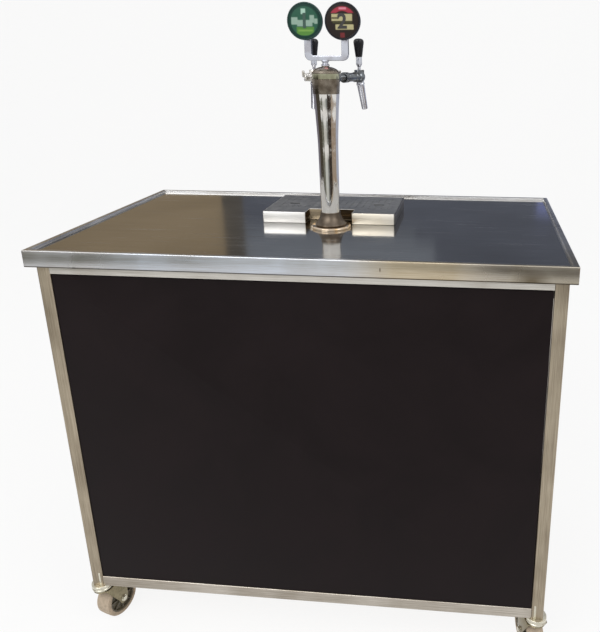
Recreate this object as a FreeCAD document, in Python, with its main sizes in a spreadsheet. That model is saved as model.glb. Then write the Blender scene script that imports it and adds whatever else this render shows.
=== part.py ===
"""Mobile beer counter with a chrome two-tap column, built as a parametric FreeCAD document.

Frame: millimetres, +Z up, origin on the floor under the middle of the worktop. The customers
stand on the -Y side and the person who pours stands on the +Y side. Every driving size is a
cell of the sheet "dims"; the texts below are expressions of those cells.
"""
import FreeCAD, Part
import os
import re
import Sketcher
from FreeCAD import Placement, Rotation, Vector

SIZES = (
    # worktop
    ("top_length", 1200), ("top_depth", 700), ("counter_height", 1050), ("rim_width", 12),
    ("rim_height", 6), ("apron_height", 38), ("sheet", 1.5), ("board_thickness", 22),
    ("board_play", 0.5),
    # frame of square tube, panels and shelf
    ("frame_inset_x", 15), ("frame_inset_y", 19.5), ("tube_width", 30), ("tube_wall", 2),
    ("panel_thickness", 8), ("panel_inset", 2), ("panel_gap", 1.5), ("ledge_width", 20),
    ("ledge_thickness", 3), ("shelf_thickness", 12), ("shelf_lap", 15),
    # foot of the tower
    ("tower_x", 24.5), ("tower_y", -48), ("flange_diameter", 100), ("flange_thickness", 7),
    ("bell_diameter", 78), ("bell_rim", 4), ("bell_lip", 1.9), ("flange_height", 40),
    ("stem_diameter", 40), ("stem_wall", 3), ("stem_play", 0.5), ("stem_tail", 30),
    ("nut_diameter", 64), ("nut_thickness", 12),
    # column and cap, whose levels are counted from the taps
    ("column_wall", 2.5), ("foot_diameter", 46), ("waist_drop", 146), ("waist_diameter", 49),
    ("neck_drop", 68), ("neck_diameter", 57), ("head_drop", 15), ("head_diameter", 65),
    ("shoulder_rise", 11), ("dome_height", 16), ("cap_boss_height", 2), ("spigot_depth", 3),
    ("spigot_play", 0.2),
    # badge bracket and badges
    ("bracket_shift", 4.5), ("bar_rise", 45.5), ("bar_thickness", 12), ("bracket_depth", 12),
    ("upright_width", 16), ("bracket_chamfer", 7), ("bracket_stem_diameter", 14),
    ("badge_spacing", 87), ("badge_rise", 80), ("badge_diameter", 82),
    ("badge_thickness", 14), ("badge_lip", 4), ("badge_recess", 1.5), ("face_thickness", 3),
    ("face_play", 0.2), ("stub_diameter", 16), ("stub_length", 6),
    # shanks and bodies of the taps
    ("tap_height", 360), ("tap_reach", 142), ("tap_splay", 24), ("shank_diameter", 15),
    ("shank_play", 0.2), ("shank_start", 26), ("tail_diameter", 11), ("tail_start", 14),
    ("elbow_wall", 1), ("collar_diameter", 30), ("collar_length", 14), ("socket_depth", 8),
    ("barrel_start", 72), ("barrel_diameter", 25), ("bulb_diameter", 30),
    ("bonnet_diameter", 25), ("bonnet_height", 17), ("spout_length", 83), ("spout_tilt", 16),
    ("spout_top_diameter", 19), ("spout_tip_diameter", 15), ("spout_bore", 9),
    ("spout_bore_depth", 12),
    # levers and grips
    ("pivot_height", 10), ("lever_thickness", 9), ("lever_diameter", 8), ("lever_play", 0.5),
    ("lever_eye", 13), ("pin_diameter", 5), ("running_play", 0.05), ("lever_length", 48),
    ("ferrule_diameter", 15), ("ferrule_length", 18), ("ferrule_taper", 6),
    ("grip_length", 44), ("grip_low_diameter", 17), ("grip_high_diameter", 26),
    ("grip_dome", 9), ("stud_diameter", 6), ("stud_length", 20),
    # flow controls
    ("valve_reach", 104), ("boss_diameter", 18), ("boss_length", 18), ("knob_gap", 0.3),
    ("knob_diameter", 20), ("knob_length", 14), ("spindle_diameter", 6), ("spindle_length", 5),
    ("wing_length", 16), ("wing_thickness", 5),
    # drip tray and its grille
    ("tray_x", 11.5), ("tray_front", -18), ("tray_length", 344), ("tray_depth", 215),
    ("tray_height", 29), ("tray_sheet", 1.5), ("notch_width", 120), ("notch_depth", 45),
    ("grille_sheet", 2), ("grille_ledge", 1.5), ("grille_play", 0.4), ("grille_support", 6),
    ("slot_length", 28), ("slot_width", 9), ("slot_spacing", 230), ("drain_diameter", 4),
    ("drain_pitch", 17), ("grille_border", 22),
    # casters
    ("caster_height", 128), ("wheel_diameter", 100), ("wheel_width", 42), ("trail", 38),
    ("caster_turn", 72), ("head_disc_diameter", 50), ("head_disc_height", 18),
    ("insert_length", 40), ("kingpin_diameter", 12), ("kingpin_head", 20),
    ("kingpin_head_height", 4), ("swivel_gap", 0.4), ("fork_top_diameter", 46),
    ("fork_plate", 3), ("leg_width", 30), ("wheel_gap", 2), ("axle_diameter", 8),
    ("axle_head", 14), ("axle_head_height", 5), ("hub_diameter", 26), ("hub_width", 45),
    ("rim_recess", 5), ("tyre_thickness", 12), ("tread_rounding", 6),
    ("brake_reach", 47), ("brake_rise", 44), ("brake_pin", 6), ("brake_ear", 14),
    ("pedal_length", 34), ("pedal_thickness", 4), ("pedal_width", 30), ("pedal_hub", 12),
    ("shoe_diameter", 13), ("shoe_shift", 6),
    # housing of the cooler under the counter
    ("cooler_margin", 140), ("cooler_y", 0), ("cooler_width", 300), ("cooler_depth", 440),
    ("cooler_height", 420), ("cooler_sheet", 1.5), ("pan_height", 30), ("vent_count", 9),
    ("vent_height", 6), ("vent_pitch", 18), ("vent_width", 200), ("vent_level", 130),
    ("side_vent_width", 160), ("side_vent_shift", 60), ("fitting_play", 0.5),
    # cooling machinery
    ("condenser_width", 220), ("condenser_height", 200), ("condenser_depth", 40),
    ("condenser_gap", 14), ("fin_count", 20), ("fin_slot", 5), ("fin_depth", 12),
    ("fan_diameter", 170), ("fan_depth", 18), ("fan_gap", 10), ("fan_hub_diameter", 50),
    ("fan_blades", 5), ("blade_root", 17), ("blade_thickness", 2), ("blade_pitch", 28),
    ("shaft_diameter", 6), ("motor_diameter", 54), ("motor_length", 46), ("motor_gap", 6),
    ("motor_foot_width", 40), ("motor_foot_depth", 23),
    ("compressor_diameter", 120), ("compressor_height", 105), ("compressor_dome", 30),
    ("compressor_x", 60), ("compressor_y", 8),
    ("block_width", 190), ("block_depth", 120), ("block_height", 300), ("block_back_gap", 12),
    ("outlet_spacing", 20), ("outlet_shift", 115), ("outlet_diameter", 14),
    ("outlet_rise", 18), ("inlet_spacing", 60), ("inlet_level", 260), ("inlet_diameter", 20),
    ("inlet_bore", 9.6), ("inlet_bore_depth", 15), ("inlet_reach", 10),
    # controls and mains inlet
    ("dial_diameter", 36), ("dial_depth", 15), ("dial_x", -95), ("control_level", 360),
    ("dial_spindle_diameter", 6), ("dial_spindle_length", 10),
    ("rocker_radius", 12), ("rocker_width", 15), ("rocker_sunk", 8), ("rocker_play", 0.3),
    ("rocker_dip", 2.5), ("rocker_dish", 18), ("rocker_tilt", 8), ("switch_x", 85),
    ("socket_width", 28), ("socket_height", 20), ("socket_body", 22), ("socket_lip", 4),
    ("socket_lip_thickness", 3), ("socket_wall", 2), ("socket_x", 115), ("socket_level", 60),
    ("mains_cavity", 16),
    # beer lines
    ("line_diameter", 8), ("line_offset_top", 8), ("line_tail", 22), ("line_bend_level", 120),
    ("line_run_level", 900), ("line_low_level", 700),
    # how far a cutting tool reaches past the piece
    ("overcut", 2),
)
NAMES = {name for name, size in SIZES}
WORD = re.compile(r"[a-z_]\w*")
FULL_TURN = 360
QUARTER_TURN = 90
HALF_TURN = 180
SOME_TURN = 10
FRONT, BACK, LEFT, RIGHT = -1, 1, -1, 1
# the middle of a quarter arc lies this share of its radius inside each of its sides
ARC_SHARE = 0.293
SIDES = (("left", LEFT), ("right", RIGHT))
CORNERS = (
    ("front_left", LEFT, FRONT), ("front_right", RIGHT, FRONT),
    ("rear_left", LEFT, BACK), ("rear_right", RIGHT, BACK),
)

# levels and faces that several pieces share
SURFACE = "(counter_height - rim_height)"
BOARD_TOP = "(counter_height - rim_height - sheet)"
FRAME_TOP = "(counter_height - rim_height - sheet - board_thickness)"
FRAME_X = "(top_length / 2 - frame_inset_x)"
FRAME_Y = "(top_depth / 2 - frame_inset_y)"
LOW_RAIL_TOP = "(caster_height + tube_width)"
HIGH_RAIL_LOW = f"({FRAME_TOP} - tube_width)"
SHELF_TOP = f"({LOW_RAIL_TOP} + shelf_thickness)"
POST_X = f"({FRAME_X} - tube_width / 2)"
POST_Y = f"({FRAME_Y} - tube_width / 2)"
TAP_LEVEL = f"({SURFACE} + tap_height)"
SHOULDER = "(tap_height + shoulder_rise)"
BAR_LEVEL = "(tap_height + bar_rise)"
BADGE_LEVEL = f"({BAR_LEVEL} + badge_rise)"
BRACKET_X = "(tower_x + bracket_shift)"
BRACKET_FRONT = "(tower_y - bracket_depth / 2)"
COOLER_X = f"({FRAME_X} - tube_width - cooler_margin - cooler_width / 2)"
COOLER_LEFT = f"({COOLER_X} - cooler_width / 2)"
COOLER_FRONT = "(cooler_y - cooler_depth / 2)"
COOLER_BACK = "(cooler_y + cooler_depth / 2)"
COOLER_TOP = f"({SHELF_TOP} + cooler_height)"
HOOD_FOOT = f"({SHELF_TOP} + pan_height)"
HOOD_WALL = "(cooler_height - pan_height - cooler_sheet)"
PAN_FLOOR = f"({SHELF_TOP} + cooler_sheet)"
OUTLET_X = f"({COOLER_X} - outlet_shift)"
HEAD_RADIUS = "(head_diameter / 2)"
ELBOW_REACH = "(tail_start + tail_diameter / 2)"
FORK_TOP = "(caster_height - head_disc_height - swivel_gap)"
FORK_INSIDE = "(wheel_width / 2 + wheel_gap)"

doc = FreeCAD.newDocument("beer_counter")
sheet = doc.addObject("Spreadsheet::Sheet", "dims")
parts = {}


def fill_sheet():
    """One row for each driving size: its name, its value and its alias."""
    for row, (name, size) in enumerate(SIZES, start=1):
        sheet.set(f"A{row}", name)
        sheet.set(f"B{row}", str(size))
        sheet.setAlias(f"B{row}", name)
    doc.recompute()


def value(text):
    """The number that an expression of the sheet's sizes gives."""
    return float(sheet.evalExpression(text))


def bound(text):
    """The same expression as an object of the document reads it."""
    return WORD.sub(lambda word: "dims." + word[0] if word[0] in NAMES else word[0], text)


def bind(item, **sizes):
    """Ties properties of an object to expressions of the sheet."""
    for name, text in sizes.items():
        item.setExpression(name, bound(text))
    return item


def place(item, x="0", y="0", z="0"):
    """Ties an object's place to the sheet."""
    for axis, text in zip("xyz", (x, y, z)):
        item.setExpression(".Placement.Base." + axis, bound(text))
    return item


def turn(item, axis, angle):
    """Ties an object's turn about one axis to the sheet."""
    item.Placement = Placement(item.Placement.Base, Rotation(axis, SOME_TURN))
    item.setExpression(".Placement.Rotation.Angle", bound(angle))
    return item


def lay(item, axis, angle):
    """Turns an object by a fixed angle about one axis."""
    item.Placement = Placement(item.Placement.Base, Rotation(axis, angle))
    return item


def box(label, size, corner=("0", "0", "0")):
    """Box by its three sizes and its lowest corner."""
    item = doc.addObject("Part::Box", label)
    bind(item, Length=size[0], Width=size[1], Height=size[2])
    return place(item, *corner)


def centred_box(label, size, middle):
    """Box whose lowest face is centred on a point in X and Y."""
    corner = (f"{middle[0]} - ({size[0]}) / 2", f"{middle[1]} - ({size[1]}) / 2", middle[2])
    return box(label, size, corner)


def rod(label, diameter, length, start=("0", "0", "0"), axis=None, angle=QUARTER_TURN):
    """Cylinder along Z, or turned from Z by an angle about another axis."""
    item = doc.addObject("Part::Cylinder", label)
    bind(item, Radius=f"({diameter}) / 2", Height=length)
    if axis:
        lay(item, axis, angle)
    return place(item, *start)


# turns that lay a rod or a turned piece from +Z onto another direction
ONTO_BACK = {"axis": Vector(-1, 0, 0)}
ONTO_FRONT = {"axis": Vector(1, 0, 0)}
ONTO_RIGHT = {"axis": Vector(0, 1, 0)}
ONTO_LEFT = {"axis": Vector(0, -1, 0)}


def fuse(label, *items):
    """Union of several objects."""
    item = doc.addObject("Part::MultiFuse", label)
    item.Shapes = list(items)
    item.Refine = True
    return item


def cut(label, base, *tools):
    """One object less several others."""
    item = doc.addObject("Part::Cut", label)
    item.Base = base
    item.Tool = tools[0] if len(tools) == 1 else fuse(label + "_tools", *tools)
    return item


def group(label, *items):
    """Separate solids that share one node, or a piece that is placed as a whole."""
    item = doc.addObject("Part::Compound", label)
    item.Links = list(items)
    return item


def keep(item, label):
    """Names an object as a sub-part, which is written to its own file."""
    item.Label = label
    parts[label] = item
    return item


def outline(body, role, corners):
    """Closed sketch of straight lines on an origin plane, each corner tied to the sheet."""
    sketch = body.newObject("Sketcher::SketchObject", body.Name + "_outline")
    plane = next(item for item in body.Origin.OriginFeatures if item.Role == role)
    sketch.AttachmentSupport = [(plane, "")]
    sketch.MapMode = "FlatFace"
    points = [Vector(value(across), value(up), 0) for across, up in corners]
    for start, end in zip(points, points[1:] + points[:1]):
        sketch.addGeometry(Part.LineSegment(start, end), False)
    for line in range(len(points)):
        joined = Sketcher.Constraint("Coincident", line, 2, (line + 1) % len(points), 1)
        sketch.addConstraint(joined)
    for line, corner in enumerate(corners):
        for kind, axis, text in (("DistanceX", -2, corner[0]), ("DistanceY", -1, corner[1])):
            if text == "0":
                sketch.addConstraint(Sketcher.Constraint("PointOnObject", line, 1, axis))
                continue
            rule = Sketcher.Constraint(kind, -1, 1, line, 1, value(text))
            number = sketch.addConstraint(rule)
            sketch.setExpression(f"Constraints[{number}]", bound(text))
    return sketch


def padded(label, role, corners, length):
    """Body that pads an outline along its plane's normal: +Z on XY, -Y on XZ, +X on YZ."""
    body = doc.addObject("PartDesign::Body", label)
    pad = body.newObject("PartDesign::Pad", label + "_pad")
    pad.Profile = outline(body, role, corners)
    bind(pad, Length=length)
    body.Tip = pad
    return body


def turned(label, corners):
    """Body that turns an outline of (radius, height) about +Z."""
    body = doc.addObject("PartDesign::Body", label)
    sketch = outline(body, "XZ_Plane", corners)
    spin = body.newObject("PartDesign::Revolution", label + "_turning")
    spin.Profile = sketch
    spin.ReferenceAxis = (sketch, ["V_Axis"])
    spin.Angle = FULL_TURN
    body.Tip = spin
    return body


def rectangle(low_x, low_y, high_x, high_y):
    """Corners of an upright rectangle for an outline."""
    return ((low_x, low_y), (high_x, low_y), (high_x, high_y), (low_x, high_y))


# ---------------------------------------------------------------- counter

def worktop():
    """Folded steel top: a raised rim all round, a sunk surface and an apron."""
    outer = centred_box("top_outer", ("top_length", "top_depth", "apron_height"),
                        ("0", "0", "counter_height - apron_height"))
    sunk = centred_box(
        "top_sunk",
        ("top_length - 2 * rim_width", "top_depth - 2 * rim_width", "rim_height + overcut"),
        ("0", "0", SURFACE))
    under = centred_box(
        "top_under",
        ("top_length - 2 * sheet", "top_depth - 2 * sheet",
         "apron_height - rim_height - sheet + overcut"),
        ("0", "0", "counter_height - apron_height - overcut"))
    hole = rod("top_hole", "stem_diameter + 2 * stem_play", "sheet + 2 * overcut",
               ("tower_x", "tower_y", f"{BOARD_TOP} - overcut"))
    keep(cut("top_sheet", outer, sunk, under, hole), "worktop")


def table_board():
    """Plywood core under the steel, with the hole for the tower's stem."""
    board = centred_box(
        "board",
        ("top_length - 2 * sheet - 2 * board_play", "top_depth - 2 * sheet - 2 * board_play",
         "board_thickness"),
        ("0", "0", FRAME_TOP))
    hole = rod("board_hole", "stem_diameter + 2 * stem_play", "board_thickness + 2 * overcut",
               ("tower_x", "tower_y", f"{FRAME_TOP} - overcut"))
    keep(cut("board_cut", board, hole), "table_board")


def tube(label, size, corner, run):
    """Square tube whose hollow runs along one axis, given as 0, 1 or 2."""
    outer = box(label + "_outer", size, corner)
    inner_size = [f"{length} - 2 * tube_wall" for length in size]
    inner_corner = [f"{low} + tube_wall" for low in corner]
    inner_size[run] = f"{size[run]} + 2 * overcut"
    inner_corner[run] = f"{corner[run]} - overcut"
    inner = box(label + "_inner", inner_size, inner_corner)
    keep(cut(label + "_tube", outer, inner), label)


def low_corner(side, face):
    """Lowest coordinate of a tube whose outer face lies on the given side."""
    return f"-{face}" if side < 0 else f"{face} - tube_width"


def frame():
    """Four posts, and a low and a high ring of rails between them."""
    for name, side, depth in CORNERS:
        corner = (low_corner(side, FRAME_X), low_corner(depth, FRAME_Y), "caster_height")
        tube("post_" + name, ("tube_width", "tube_width", f"{FRAME_TOP} - caster_height"),
             corner, 2)
    along = f"2 * {FRAME_X} - 2 * tube_width"
    across = f"2 * {FRAME_Y} - 2 * tube_width"
    for ring, level in (("bottom", "caster_height"), ("top", HIGH_RAIL_LOW)):
        for name, depth in (("front", FRONT), ("rear", BACK)):
            corner = (f"tube_width - {FRAME_X}", low_corner(depth, FRAME_Y), level)
            tube(f"{ring}_rail_{name}", (along, "tube_width", "tube_width"), corner, 0)
        for name, side in SIDES:
            corner = (low_corner(side, FRAME_X), f"tube_width - {FRAME_Y}", level)
            tube(f"{ring}_rail_{name}", ("tube_width", across, "tube_width"), corner, 1)


def panels():
    """Black panels in the front and side openings of the frame."""
    low = f"{LOW_RAIL_TOP} + panel_gap"
    high = f"{HIGH_RAIL_LOW} - panel_gap"
    reach_x = f"({FRAME_X} - tube_width - panel_gap)"
    reach_y = f"({FRAME_Y} - tube_width - panel_gap)"
    front = padded("front_panel_body", "XZ_Plane",
                   rectangle(f"-{reach_x}", low, reach_x, high), "panel_thickness")
    place(front, y=f"panel_inset + panel_thickness - {FRAME_Y}")
    keep(front, "panel_front")
    sides = []
    for name, side in SIDES:
        panel = padded(f"{name}_panel_body", "YZ_Plane",
                       rectangle(f"-{reach_y}", low, reach_y, high), "panel_thickness")
        outer = f"{FRAME_X} - panel_inset"
        place(panel, x=f"-({outer})" if side < 0 else f"{outer} - panel_thickness")
        sides.append(panel)
    keep(group("side_panel_group", *sides), "side_panels")


def panel_ledges():
    """Flat bars welded to the rails, which the panels rest against from outside."""
    back = "(panel_inset + panel_thickness)"
    strips = []
    levels = (("low", LOW_RAIL_TOP), ("high", f"{HIGH_RAIL_LOW} - ledge_width"))
    for level_name, level in levels:
        strips.append(box(
            f"ledge_front_{level_name}",
            (f"2 * ({FRAME_X} - tube_width)", "ledge_thickness", "ledge_width"),
            (f"tube_width - {FRAME_X}", f"{back} - {FRAME_Y}", level)))
        for name, side in SIDES:
            low = f"{back} - {FRAME_X}"
            if side > 0:
                low = f"{FRAME_X} - {back} - ledge_thickness"
            strips.append(box(
                f"ledge_{name}_{level_name}",
                ("ledge_thickness", f"2 * ({FRAME_Y} - tube_width)", "ledge_width"),
                (low, f"tube_width - {FRAME_Y}", level)))
    keep(group("ledge_group", *strips), "panel_ledges")


def base_shelf():
    """Board on the low rails that carries the cooler and the kegs."""
    reach_y = f"({FRAME_Y} - tube_width + shelf_lap)"
    reach_x = f"({FRAME_X} - tube_width)"
    shelf = padded("shelf_body", "XY_Plane",
                   rectangle(f"-{reach_x}", f"-{reach_y}", reach_x, reach_y),
                   "shelf_thickness")
    keep(place(shelf, z=LOW_RAIL_TOP), "base_shelf")


# ------------------------------------------------------------------ tower

BELL_STEPS = 5


def tower_flange():
    """Plate and bell at the foot of the tower, with the hollow stem through the worktop."""
    stem = "stem_diameter / 2"
    bore = "stem_diameter / 2 - stem_wall"
    tail = "-(sheet + board_thickness + stem_tail)"
    low = "(flange_thickness + bell_rim)"
    neck = "(foot_diameter / 2 + bell_lip)"
    bell = []
    for step in range(BELL_STEPS + 1):
        left = 1 - step / BELL_STEPS
        bell.append((f"{neck} + (bell_diameter / 2 - {neck}) * {left} ^ 2",
                     f"flange_height - (flange_height - {low}) * {left}"))
    foot = turned("flange_body", (
        (bore, tail), (stem, tail), (stem, "0"), ("flange_diameter / 2", "0"),
        ("flange_diameter / 2", "flange_thickness / 2"),
        ("flange_diameter / 2 - flange_thickness / 2", "flange_thickness"),
        ("bell_diameter / 2", "flange_thickness"), *bell, (bore, "flange_height")))
    keep(place(foot, "tower_x", "tower_y", SURFACE), "tower_flange")


def tower_nut():
    """Ring nut that clamps the worktop between itself and the flange."""
    nut = rod("nut_disc", "nut_diameter", "nut_thickness",
              ("tower_x", "tower_y", f"{FRAME_TOP} - nut_thickness"))
    hole = rod("nut_hole", "stem_diameter", "nut_thickness + 2 * overcut",
               ("tower_x", "tower_y", f"{FRAME_TOP} - nut_thickness - overcut"))
    keep(cut("nut_ring", nut, hole), "tower_nut")


def tower_column():
    """Hollow column that widens to its head, with a hole for each tap's shank."""
    rings = (("foot_diameter", "flange_height"),
             ("waist_diameter", "tap_height - waist_drop"),
             ("neck_diameter", "tap_height - neck_drop"),
             ("head_diameter", "tap_height - head_drop"), ("head_diameter", SHOULDER))
    outer = [(f"{across} / 2", level) for across, level in rings]
    inner = [(f"{across} / 2 - column_wall", level) for across, level in reversed(rings)]
    shell = turned("column_body", outer + inner)
    holes = []
    for name, side in SIDES:
        hole = rod(f"column_hole_{name}", "shank_diameter + 2 * shank_play",
                   "head_diameter", ("0", "0", "tap_height"), **ONTO_BACK)
        holes.append(turn(group(f"column_hole_{name}_turned", hole), Vector(0, 0, 1),
                          f"{-side} * tap_splay"))
    column = cut("column_cut", shell, *holes)
    keep(place(column, "tower_x", "tower_y", SURFACE), "tower_column")


def tower_cap():
    """Dome that closes the column, held by a spigot inside it."""
    dome = doc.addObject("Part::Ellipsoid", "cap_dome")
    bind(dome, Radius1="dome_height", Radius2=HEAD_RADIUS, Radius3=HEAD_RADIUS, Angle1="0")
    spigot = rod("cap_spigot", "head_diameter - 2 * column_wall - 2 * spigot_play",
                 "spigot_depth + dome_height / 2", ("0", "0", "-spigot_depth"))
    boss = rod("cap_boss", "bracket_stem_diameter + 2 * cap_boss_height",
               "dome_height + cap_boss_height")
    cap = fuse("cap_fuse", dome, spigot, boss)
    keep(place(cap, "tower_x", "tower_y", f"{SURFACE} + {SHOULDER}"), "tower_cap")


def badge_bracket():
    """Stem on the dome, and a fork on the stem with one upright behind each badge."""
    reach = "(badge_spacing / 2 + upright_width / 2)"
    inside = "(badge_spacing / 2 - upright_width / 2)"
    low = f"({BAR_LEVEL} - bar_thickness / 2)"
    high = f"({BAR_LEVEL} + bar_thickness / 2)"
    crown = f"({BADGE_LEVEL} + upright_width / 2)"
    fork = padded("bracket_fork", "XZ_Plane", (
        (f"bracket_chamfer - {reach}", low), (f"{reach} - bracket_chamfer", low),
        (reach, f"{low} + bracket_chamfer"), (reach, crown), (inside, crown),
        (inside, high), (f"-{inside}", high), (f"-{inside}", crown), (f"-{reach}", crown),
        (f"-{reach}", f"{low} + bracket_chamfer")), "bracket_depth")
    place(fork, "bracket_shift", "bracket_depth / 2")
    foot = f"({SHOULDER} + dome_height + cap_boss_height)"
    stem = rod("bracket_stem", "bracket_stem_diameter", f"{low} - {foot} + overcut",
               ("0", "0", foot))
    bracket = fuse("bracket_fuse", fork, stem)
    keep(place(bracket, "tower_x", "tower_y", SURFACE), "badge_bracket")


def badges():
    """Round badge bodies on stubs in front of the uprights, and their faces."""
    faces = []
    front = "(stub_length + badge_thickness)"
    for name, side in SIDES:
        shell = turned(f"badge_{name}_body", (
            ("0", "0"), ("stub_diameter / 2", "0"), ("stub_diameter / 2", "stub_length"),
            ("badge_diameter / 2 - badge_lip", "stub_length"),
            ("badge_diameter / 2", "stub_length + badge_lip"),
            ("badge_diameter / 2", f"{front} - badge_lip / 2"),
            ("badge_diameter / 2 - badge_lip / 2", front),
            ("badge_diameter / 2 - badge_lip", front),
            ("badge_diameter / 2 - badge_lip", f"{front} - badge_recess"),
            ("0", f"{front} - badge_recess")))
        lay(shell, Vector(1, 0, 0), QUARTER_TURN)
        middle = f"{BRACKET_X} + {side} * badge_spacing / 2"
        height = f"{SURFACE} + {BADGE_LEVEL}"
        place(shell, middle, BRACKET_FRONT, height)
        keep(shell, f"badge_{name}")
        face = rod(f"badge_face_{name}", "badge_diameter - 2 * badge_lip - 2 * face_play",
                   "face_thickness",
                   (middle, f"{BRACKET_FRONT} - {front} + badge_recess", height),
                   **ONTO_FRONT)
        faces.append(face)
    keep(group("face_group", *faces), "badge_faces")


# ------------------------------------------------------------------- taps
# The pieces of a tap are drawn with +Y pointing away from the column and the
# origin on the column's axis at the height of the shank, then set on the tower.

def on_tower(label, side, *items):
    """Places the pieces of one tap on its side of the column."""
    item = group(label, *items)
    turn(item, Vector(0, 0, 1), f"{-side} * tap_splay")
    return place(item, "tower_x", "tower_y", TAP_LEVEL)


def tap_shank(name, side):
    """Threaded shank with a saddle collar and an elbow for the beer line."""
    through = rod(f"shank_{name}_rod", "shank_diameter",
                  "barrel_start + socket_depth - shank_start", ("0", "shank_start", "0"),
                  **ONTO_BACK)
    tail = rod(f"shank_{name}_tail", "tail_diameter", "shank_start - tail_start",
               ("0", "tail_start", "0"), **ONTO_BACK)
    collar = rod(f"shank_{name}_collar", "collar_diameter", f"{HEAD_RADIUS} + collar_length",
                 **ONTO_BACK)
    column = rod(f"shank_{name}_column", "head_diameter", "2 * collar_diameter",
                 ("0", "0", "-collar_diameter"))
    saddle = cut(f"shank_{name}_saddle", collar, column)
    elbow = rod(f"shank_{name}_elbow", "line_diameter + 2 * elbow_wall", "line_tail",
                ("0", ELBOW_REACH, "-line_tail"))
    shank = fuse(f"shank_{name}_fuse", through, tail, saddle, elbow)
    return on_tower(f"shank_{name}", side, shank)


def tap_shanks():
    """Both shanks share one node."""
    shanks = [tap_shank(name, side) for name, side in SIDES]
    keep(group("shank_group", *shanks), "tap_shanks")


def slanted_spout(label, low, high, length, start):
    """Cone that points down and outward by the spout's tilt."""
    cone = doc.addObject("Part::Cone", label)
    bind(cone, Radius1=f"{low} / 2", Radius2=f"{high} / 2", Height=length)
    place(cone, z=start)
    leaning = turn(group(label + "_leaning", cone), Vector(-1, 0, 0),
                   f"{HALF_TURN} - spout_tilt")
    return place(leaning, y="tap_reach")


def tap_body(name, side):
    """Cast tap: barrel, bulb, slotted bonnet, valve boss and spout."""
    tag = f"tap_{name}_"
    barrel = rod(tag + "barrel", "barrel_diameter", "tap_reach - barrel_start",
                 ("0", "barrel_start", "0"), **ONTO_BACK)
    bulb = doc.addObject("Part::Sphere", tag + "bulb")
    bind(bulb, Radius="bulb_diameter / 2")
    place(bulb, y="tap_reach")
    bonnet = rod(tag + "bonnet", "bonnet_diameter", "bonnet_height", ("0", "tap_reach", "0"))
    boss = rod(tag + "boss", "boss_diameter", "boss_length", ("0", "valve_reach", "0"),
               **ONTO_LEFT)
    spout = slanted_spout(tag + "spout", "spout_top_diameter", "spout_tip_diameter",
                          "spout_length", "overcut")
    solid = fuse(tag + "solid", barrel, bulb, bonnet, boss, spout)
    socket = rod(tag + "socket", "shank_diameter", "socket_depth + overcut",
                 ("0", "barrel_start - overcut", "0"), **ONTO_BACK)
    slot = box(tag + "slot",
               ("lever_thickness + 2 * lever_play", "2 * bulb_diameter",
                "bonnet_height + lever_eye"),
               ("-lever_thickness / 2 - lever_play", "tap_reach - bulb_diameter",
                "pivot_height - lever_eye / 2 - lever_play"))
    pin_hole = rod(tag + "pin_hole", "pin_diameter + 2 * running_play",
                   "bonnet_diameter + 2 * overcut",
                   ("-bonnet_diameter / 2 - overcut", "tap_reach", "pivot_height"),
                   **ONTO_RIGHT)
    valve_hole = rod(tag + "valve_hole", "spindle_diameter + 2 * running_play",
                     "spindle_length + knob_gap + overcut",
                     ("spindle_length - boss_length", "valve_reach", "0"), **ONTO_LEFT)
    bore = slanted_spout(tag + "bore", "spout_bore", "spout_bore", "spout_bore_depth + overcut",
                         "spout_length - spout_bore_depth + overcut")
    body = cut(tag + "cut", solid, socket, slot, pin_hole, valve_hole, bore)
    keep(on_tower(f"{tag}placed", side, body), f"tap_body_{name}")


def tap_lever(name, side):
    """Lever with an eye and a cross pin in the bonnet's slot, a ferrule and a stud."""
    tag = f"lever_{name}_"
    eye = rod(tag + "eye", "lever_eye", "lever_thickness",
              ("-lever_thickness / 2", "tap_reach", "pivot_height"), **ONTO_RIGHT)
    pin = rod(tag + "pin", "pin_diameter", "bonnet_diameter - 2 * lever_play",
              ("lever_play - bonnet_diameter / 2", "tap_reach", "pivot_height"), **ONTO_RIGHT)
    stem = rod(tag + "stem", "lever_diameter", "lever_length - pivot_height",
               ("0", "tap_reach", "pivot_height"))
    ferrule = rod(tag + "ferrule", "ferrule_diameter", "ferrule_length",
                  ("0", "tap_reach", "lever_length - ferrule_length"))
    taper = doc.addObject("Part::Cone", tag + "taper")
    bind(taper, Radius1="lever_diameter / 2", Radius2="ferrule_diameter / 2",
         Height="ferrule_taper")
    place(taper, y="tap_reach", z="lever_length - ferrule_length - ferrule_taper")
    stud = rod(tag + "stud", "stud_diameter", "stud_length",
               ("0", "tap_reach", "lever_length"))
    lever = fuse(tag + "fuse", eye, pin, stem, taper, ferrule, stud)
    keep(on_tower(f"{tag}placed", side, lever), f"tap_lever_{name}")


def tap_grip(name, side):
    """Tapered grip with a domed end, screwed onto the lever's stud."""
    taper = doc.addObject("Part::Cone", f"grip_{name}_taper")
    bind(taper, Radius1="grip_low_diameter / 2", Radius2="grip_high_diameter / 2",
         Height="grip_length - grip_dome")
    dome = doc.addObject("Part::Ellipsoid", f"grip_{name}_dome")
    bind(dome, Radius1="grip_dome", Radius2="grip_high_diameter / 2",
         Radius3="grip_high_diameter / 2", Angle1="0")
    place(dome, z="grip_length - grip_dome")
    solid = fuse(f"grip_{name}_solid", taper, dome)
    hole = rod(f"grip_{name}_hole", "stud_diameter", "stud_length + overcut",
               ("0", "0", "-overcut"))
    grip = place(cut(f"grip_{name}_cut", solid, hole), y="tap_reach", z="lever_length")
    keep(on_tower(f"grip_{name}_placed", side, grip), f"tap_grip_{name}")


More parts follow.
